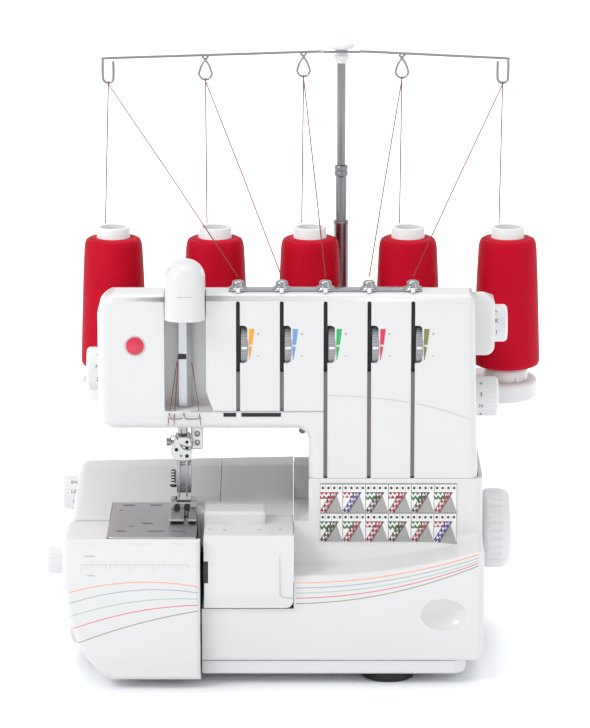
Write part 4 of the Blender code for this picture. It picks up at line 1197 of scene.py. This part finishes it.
finish(SHELL_WHITE, "presser_lifter")

# ------------------------------------------------------------------ side dials
# Five turned white knobs on the sides set the stitch. Each has a finely ribbed grip and a smooth band at
# its root, with figures on the band in dark ink, which is navy on the cutting width dial.

INK = moulded("dial_ink", (0.05, 0.05, 0.06), 0.45, shade=0.01)
NAVY = moulded("dial_navy", (0.03, 0.035, 0.16), 0.4, shade=0.01)


def figures(text, height):
    """Raised figures that stand upright in the XZ plane and face the front."""
    curve = bpy.data.curves.new("figures", "FONT")
    curve.body, curve.size, curve.extrude = text, height * 1.4, 0.12
    curve.align_x, curve.align_y, curve.resolution_u = "CENTER", "CENTER", 3
    text_object = bpy.data.objects.new("figures", curve)
    bpy.context.scene.collection.objects.link(text_object)
    flat = bpy.data.meshes.new_from_object(text_object.evaluated_get(bpy.context.evaluated_depsgraph_get()))
    bpy.data.objects.remove(text_object)
    mesh = bmesh.new()
    mesh.from_mesh(flat)
    bmesh.ops.remove_doubles(mesh, verts=mesh.verts, dist=0.0001)
    bmesh.ops.rotate(mesh, verts=mesh.verts, matrix=Matrix.Rotation(math.pi / 2, 3, "X"))
    return mesh


DIALS = (
    ("pattern_dial", "pattern_knob", ("L", "K", "J"), INK),
    ("stitch_length_dial", "stitch_length_knob", ("4", "3", "N", "2"), INK),
    ("foot_pressure_dial", "foot_pressure_knob", ("4", "N", "2"), INK),
    ("differential_dial", "differential_knob", ("SN", "1.0", "I", "0"), INK),
    ("cutting_width_dial", "cutting_width_knob", ("I", "N", "I", "9"), NAVY),
)
for node, body, labels, ink in DIALS:
    x0, x1, y0, y1, z0, z1 = span(node)
    radius, middle = (y1 - y0) / 2, Vector((0, (y0 + y1) / 2, (z0 + z1) / 2))
    root, tip = (x0, x1) if x0 > 0 else (x1, x0)
    out = 1 if tip > root else -1
    rim = [(0, root), (radius, root), (radius, tip - out * 3)]
    turns = [math.pi / 12 * k for k in range(1, 6)]
    rim += [(radius - 3 + 3 * math.cos(a), tip - out * (3 - 3 * math.sin(a))) for a in turns]
    rim += [(radius - 3, tip), (radius - 4, tip - out * 0.4), (0, tip - out * 0.4)]
    knob = shape(node + "_knob", turned(rim, "x", middle, 56), DIAL_WHITE)
    band = max(3.2, abs(tip - root) * 0.42)
    grips = []
    grip_start, grip_reach = min(root + out * band, tip - out * 1), radius + 0.55
    for k in range(28):
        turn = 2 * math.pi * k / 28
        at = (grip_start, middle.y + grip_reach * math.cos(turn), middle.z + grip_reach * math.sin(turn))
        grips.append(rod(0.9, 0, abs(tip - root) - band - 1, "x", at, 8))
    fit(carve(knob, *[cut(grip) for grip in grips]), body, "dial_white", node)
    marks = []
    size = 3.0 if radius > 12 else 2.3
    band_middle = root + out * (band / 2 + 0.3)
    for k, label in enumerate(labels):
        turn = math.radians(52 - 34 * k)
        mark = figures(label, size)
        bmesh.ops.rotate(mark, verts=mark.verts, matrix=Matrix.Rotation(-turn, 3, "X"))
        reach = radius + 0.02
        at = (band_middle, middle.y - reach * math.cos(turn), middle.z + reach * math.sin(turn))
        bmesh.ops.translate(mark, verts=mark.verts, vec=at)
        marks.append(mark)
    fit(shape(node + "_figures", merged(marks), ink, 20), body, "dial_grey")

# ------------------------------------------------------------------ power switch
# A grey moulded rocker at the lower right switches the power. It fills a square opening in the cover's side
# and tips about an upright pin.

x0, x1, y0, y1, z0, z1 = span("power_switch")
rocker_side = [
    (x0, y0 + 0.2, 1), (x1, y0 + 0.2, 2), (x1 - 1.4, (y0 + y1) / 2, 8), (x1, y1 - 0.2, 2), (x0, y1 - 0.2, 1)
]
SWITCH_GREY = moulded("switch_grey", (0.30, 0.31, 0.33), 0.4)
rocker = soft_prism(rocker_side, "z", z0 + 0.3, z1 - 0.3, (0.8, 0.8), steps=3)
fit(shape("power_rocker", rocker, SWITCH_GREY), "switch", "switch_grey", "power_switch")

# ------------------------------------------------------------------ spool stand
# A long white tray with round ends is bolted to the back of the machine on a moulded bracket. It carries
# five raised discs, and a thin pin on each holds a cone.

x0, x1, y0, y1, z0, z1 = span("spool_stand")
tray_top, disc_top, tray_bottom = 185, 195, 169
cone_places = [(sum(span("thread_cone_%d" % k)[:2]) / 2, 100) for k in range(1, 6)]
reach = (y1 - y0) / 2
ends = four_corners(x0, x1, y0, y1, reach - 0.4)
tray = shape("spool_tray", soft_prism(ends, "z", tray_bottom, tray_top, (2, 4), steps=5), SHELL_WHITE)
bracket = rounded(
    [(83.3, 60, 1), (92, 60, 5), (96, 120, 40), (112, 160, 30), (112, tray_top - 4), (83.3, tray_top - 4)]
)
discs = []
for x, y in cone_places:
    disc = [
        (0, tray_top - 1), (17.5, tray_top - 1), (17.5, disc_top - 3), (16.6, disc_top - 0.9),
        (15, disc_top), (3.6, disc_top),
    ]
    disc += [(3.4, disc_top + 1.5), (3, disc_top + 3), (3, 283), (2.4, 286), (0, 287)]
    discs.append(join(turned(disc, "z", (x, y, 0), 40)))
tray = carve(
    tray,
    cut(prism(drawn_in(ends, 3, 10), "z", 160, tray_top - 3)),
    join(soft_prism(four_corners(12, 62, 83.3, 115, 0, 0, 4, 4), "z", 60, tray_top - 3.5, (1, 0.5), steps=2)),
)
bracket_side = shape("bracket_side", prism(bracket, "x", 0, 80))
bracket_side = carve(bracket_side, join(block((-200, 250), (60, 160), (tray_bottom - 1, 300))))
fit(carve(tray, keep(bracket_side), *discs), "machine", "shell_white", "spool_stand")

# ------------------------------------------------------------------ thread cones
# Each cone is cross-wound red polyester thread on a white plastic core. The core's open top stands out
# above the pack.


def wound_thread():
    """Crossed windings drawn along the cone's own turns and height, with a soft sheen; the colour has painted
    shade in the grooves between windings and is brighter on their crowns.
    """
    material = bpy.data.materials.new("thread_pack_red")
    shader, node, link = nodes_of(material)
    calc = maths_of(node, link)
    around = node("ShaderNodeUVMap")
    split = node("ShaderNodeSeparateXYZ")
    link(around.outputs["UV"], split.inputs["Vector"])
    u, v = split.outputs["X"], split.outputs["Y"]
    lay = []
    for lean in (2.0, -2.0):
        slope = calc.plus(calc.times(u, lean * math.pi), calc.times(v, 2 * math.pi * 96))
        lay.append(calc.times_plus(calc.sine(slope), 0.5, 0.5))
    woven = calc.highest(*lay)
    where = node("ShaderNodeTexCoord")
    fibre = node("ShaderNodeTexNoise", Scale=900.0, Detail=3.0)
    cloud = node("ShaderNodeTexNoise", Scale=24.0, Detail=2.0)
    link(where.outputs["Object"], fibre.inputs["Vector"])
    link(where.outputs["Object"], cloud.inputs["Vector"])
    height = calc.plus(woven, calc.times(fibre.outputs["Fac"], 0.5))
    # Painted shade: the colour follows the windings' height, darker red in the grooves between threads and
    # brighter on their crowns; the cloud adds a random drift in tone.
    ramp = node("ShaderNodeValToRGB")
    ramp.color_ramp.elements[0].position, ramp.color_ramp.elements[1].position = 0.3, 1.0
    ramp.color_ramp.elements[0].color = (0.25, 0.001, 0.010, 1)
    ramp.color_ramp.elements[1].color = (0.62, 0.004, 0.022, 1)
    link(calc.times(height, calc.times_plus(cloud.outputs["Fac"], 0.3, 0.6)), ramp.inputs["Fac"])
    bump = node("ShaderNodeBump", Strength=0.4, Distance=0.0004)
    link(height, bump.inputs["Height"])
    link(ramp.outputs["Color"], shader.inputs["Base Color"])
    link(bump.outputs["Normal"], shader.inputs["Normal"])
    shader.inputs["Roughness"].default_value = 0.5
    shader.inputs["Specular IOR Level"].default_value = 0.06
    return material


def unrolled(mesh, x, y, low, high):
    """Lays the turns of a round piece out flat: u goes once round, v from low to high."""
    layer = mesh.loops.layers.uv.new("turns")
    for face in mesh.faces:
        turns = [math.atan2(l.vert.co.y - y, l.vert.co.x - x) / (2 * math.pi) % 1 for l in face.loops]
        split = max(turns) - min(turns) > 0.5
        for l, turn in zip(face.loops, turns):
            l[layer].uv = (turn + (1 if split and turn < 0.5 else 0), (l.vert.co.z - low) / (high - low))
    return mesh


THREAD_RED = wound_thread()
CORE_WHITE = moulded("cone_core_white", (0.78, 0.78, 0.775), 0.45, relief=0.03)
for k, (x, y) in enumerate(cone_places):
    cone = "thread_cone_%d" % (k + 1)
    _, _, _, _, z0, z1 = span(cone)
    pack = [
        (13.4, z0 + 1), (23.4, z0 + 1), (25.6, z0 + 2), (26.5, z0 + 4), (26.7, z0 + 7), (26.4, 210),
        (25.4, 240), (24.3, 270),
    ]
    pack += [(23.3, 291), (22.7, 296), (21.4, 299), (19, 300.3), (13.4, 300.6)]
    mesh = unrolled(turned(pack, "z", (x, y, 0), 72), x, y, z0, 301)
    fit(shape(cone + "_pack", mesh, THREAD_RED, 30), "machine", "thread_pack", cone)
    core = [
        (9.2, z0), (14.5, z0), (14.5, z0 + 0.8), (13.2, z0 + 0.8), (13.2, z1 - 0.8), (12.8, z1 - 0.2),
        (12.2, z1), (10.6, z1), (10.2, z1 - 0.5),
    ]
    core += [(10.2, z1 - 6), (9.2, z1 - 9)]
    fit(shape(cone + "_core", turned(core, "z", (x, y, 0), 48), CORE_WHITE), "machine", "shell_white")

# ------------------------------------------------------------------ thread mast
# Three steel tubes slide inside one another behind the cones; the lower two end in a rolled collar. A white
# cap screws on to the top one and clamps the guide wire.

MAST_STEEL = metal("mast_steel", (0.30, 0.30, 0.31), 0.3, stretch=(1, 1, 0.06), grain=300.0)
mast_x, mast_y = 37, 125
_, _, _, _, z0, z1 = span("mast_lower")
lower = [
    (4.9, z0), (8, z0), (8, z0 + 5), (7.4, z0 + 6.6), (6, z0 + 8), (6, z1 - 3), (6.3, z1 - 2.4),
    (6.3, z1 - 0.4), (5.9, z1), (4.9, z1),
]
tube = turned(lower, "z", (mast_x, mast_y, 0), 40)
fit(shape("mast_lower_tube", tube, MAST_STEEL), "machine", "chrome", "mast_lower")
_, _, _, _, z0, z1 = span("mast_middle")
middle = [
    (3.9, z0), (4.5, z0), (4.5, z1 - 9), (5.2, z1 - 8.2), (5.4, z1 - 7.4), (5.4, z1 - 5), (5.1, z1 - 4.6),
    (5.1, z1 - 4), (5.4, z1 - 3.6),
]
middle += [(5.4, z1 - 0.6), (5, z1), (3.9, z1)]
tube = turned(middle, "z", (mast_x, mast_y, 0), 40)
fit(shape("mast_middle_tube", tube, MAST_STEEL), "mast_mid", "chrome", "mast_middle")
_, _, _, _, z0, z1 = span("mast_upper")
upper = [(0, z0), (3.2, z0), (3.5, z0 + 0.4), (3.5, z1 - 17), (0, z1 - 17)]
tube = turned(upper, "z", (mast_x, mast_y, 0), 40)
fit(shape("mast_upper_tube", tube, MAST_STEEL), "mast_top", "chrome", "mast_upper")
cap = [
    (0, z1 - 17), (4.4, z1 - 17), (5, z1 - 16), (5, z1 - 14.4), (6.2, z1 - 13), (6.2, z1 - 11),
    (5, z1 - 9.6), (5, z1 - 5.6), (9.4, z1 - 5.2),
]
cap += [(10.3, z1 - 4.2), (10.5, z1 - 3), (10, z1 - 1.6), (8, z1 - 0.5), (4, z1), (0, z1)]
fit(shape("mast_cap", turned(cap, "z", (mast_x, mast_y, 0), 48), CORE_WHITE), "mast_top", "shell_white")

# ------------------------------------------------------------------ guide wire
# One bright steel wire runs from side to side under the cap. Its two ends are bent down into long hooks,
# and three drop-shaped eyes with a crossed neck hang between them.

eye_places = (-147.7, -71, 6.8, 84.9, 164.3)
eye_drop = 21


def guide_point(x):
    """A point on the guide wire above X, past the bend round the cap."""
    bend = 20
    away = max(0.0, abs(x - mast_x) - bend)
    arm = eye_places[4] - mast_x - bend if x > mast_x else mast_x - bend - eye_places[0]
    return Vector((x, 118.2 - 18 * away / arm, 447 - 2.5 * away / arm))


BRIGHT_WIRE = metal("bright_wire", (0.34, 0.34, 0.36), 0.2, grain=80.0, relief=0.02)
path = []
for x, facing in ((eye_places[0], 1), (eye_places[4], -1)):
    top = guide_point(x)
    half, drop = 4.2, eye_drop - 1.2
    bottom = []
    for a in (math.pi / 6 * k for k in range(7)):
        bottom.append(top + Vector((-half * math.cos(a) * facing, 0, -drop + half - half * math.sin(a))))
    leg = [top + Vector((half * facing * 0.9, 0, -2.5)), top + Vector((half * facing, 0, -5))]
    hook = [
        top + Vector((-half * facing + 1.2 * facing, 0, -0.2)), top + Vector((-half * facing, 0, -2.2)),
        *bottom, *reversed(leg),
    ]
    path.append(hook)
bends = [guide_point(mast_x + away) for away in (-20, -12, 12, 20)]
bends[1].y -= 1.5
bends[2].y -= 1.5
run = [
    guide_point(eye_places[0] + 12), guide_point(-71), guide_point(-20), *bends, guide_point(90),
    guide_point(eye_places[4] - 12),
]
bar = wire([*reversed(path[0]), *run, *path[1]], 1.15)
eyes = [bar]
eighths = [math.pi / 8 * k for k in range(9)]
for x in eye_places[1:4]:
    top = guide_point(x)
    neck_left = [
        top + Vector((-2.4, -0.9, -1.2)), top + Vector((1.0, -0.9, -5.2)), top + Vector((3.4, -0.4, -9.5))
    ]
    neck_right = [
        top + Vector((-3.4, 0.4, -9.5)), top + Vector((-1.0, 0.9, -5.2)), top + Vector((2.4, 0.9, -1.2))
    ]
    bow = [top + Vector((5 * math.cos(a), 0, -eye_drop + 6.3 - 5 * math.sin(a))) for a in eighths]
    loop = [*neck_left, *bow, *neck_right]
    eyes.append(wire(loop, 0.95))
fit(shape("guide_wire", merged(eyes), BRIGHT_WIRE), "mast_top", "chrome", "guide_bar")

# ------------------------------------------------------------------ thread guides on the crest
# A plated strip along the crest carries five pressed cups, one over each slot; a white tongue in each holds
# the thread down before it drops into its slot.

x0, x1, y0, y1, z0, z1 = span("thread_guides")
strip = rounded(four_corners(x0, x1, y0, y1, 2))
cups = [prism(strip, "z", z0, z0 + 1.1, rims=(0, 0.4), steps=2)]
for x in slots:
    cup = [
        (0, z0 + 0.9), (6.7, z0 + 0.9), (6.9, z0 + 1.6), (6.6, z0 + 2.3), (5.2, z0 + 3), (4.6, z0 + 4.4),
        (4.7, z0 + 5.6), (4.2, z0 + 6.6), (2.6, z1 - 0.3), (0, z1),
    ]
    cups.append(turned(cup, "z", (x, -72, 0), 36))
    hoop = [(-6.3, -77, 1.5), (-3.5, -79.5, 0.8), (3.5, -79.5, 0.8), (6.3, -77, 1.5)]
    cups.append(wire([(x + right, y, z0 + up) for right, y, up in hoop], 0.7))
fit(shape("crest_thread_guides", merged(cups), CHROME), "machine", "chrome", "thread_guides")
tongues = []
for x in slots:
    tongue = four_corners(x - 1.6, x + 1.6, -84.5, -77, 1, 1, 0.4, 0.4)
    tongues.append(soft_prism(tongue, "z", z0 + 0.2, z0 + 2.6, (0.3, 0.6), steps=2))
fit(shape("crest_tongues", merged(tongues), CORE_WHITE), "machine", "shell_white")

# ------------------------------------------------------------------ threads
# Five red threads run up from their cones, through the guide wire and down to the crest. When the mast is
# pushed down the threads are drawn back on to the cones, so they flatten towards the crest.

THREAD_LINE = moulded("thread_line_red", (0.24, 0.02, 0.012), 0.6, grain=2500.0, relief=0.4, shade=0.06)
thread_radius = 0.46
turns = [math.pi / 4 * k for k in range(8)]
for k, ((cone_x, cone_y), eye_x, slot_x) in enumerate(zip(cone_places, eye_places, slots)):
    eye = guide_point(eye_x) - Vector((0, 0, eye_drop - 2.2))
    start = Vector((cone_x + (6.6 if cone_x < eye_x else -6.6), cone_y + 9, 309.8))
    path = [
        start, start.lerp(eye, 0.5) + Vector((0, 0, 0.001)), eye + Vector((0, 1.5, -1.5)),
        eye + Vector((0, 0, 0.3)), eye + Vector((0, -1.5, -1.5)),
    ]
    path += [eye.lerp(Vector((slot_x, -72, 304)), 0.5), Vector((slot_x, -72, 304))]
    rings = []
    for i, point in enumerate(path):
        heading = (path[min(i + 1, len(path) - 1)] - path[max(i - 1, 0)]).normalized()
        side = heading.cross(Vector((1, 0, 0))).normalized()
        across = heading.cross(side)
        rings.append([point + (side * math.cos(a) + across * math.sin(a)) * thread_radius for a in turns])
    node = "thread_%d" % (k + 1)
    line = fit(shape(node + "_line", solid(rings), THREAD_LINE), "machine", "thread_line", node)
    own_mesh(line)

# The needle threads come down the channel and end at its hooks.
needle_lines = []
for top_x, hook_x in ((-89.4, -96), (-88.6, -91.5), (-78.2, -71)):
    line = [(top_x, -79, 240), ((top_x + hook_x) / 2, -84, 217), (hook_x, -93.4, 194)]
    needle_lines.append(wire(line, 0.3, sides=6))
fit(shape("channel_threads", merged(needle_lines), THREAD_LINE), "machine", "thread_line")
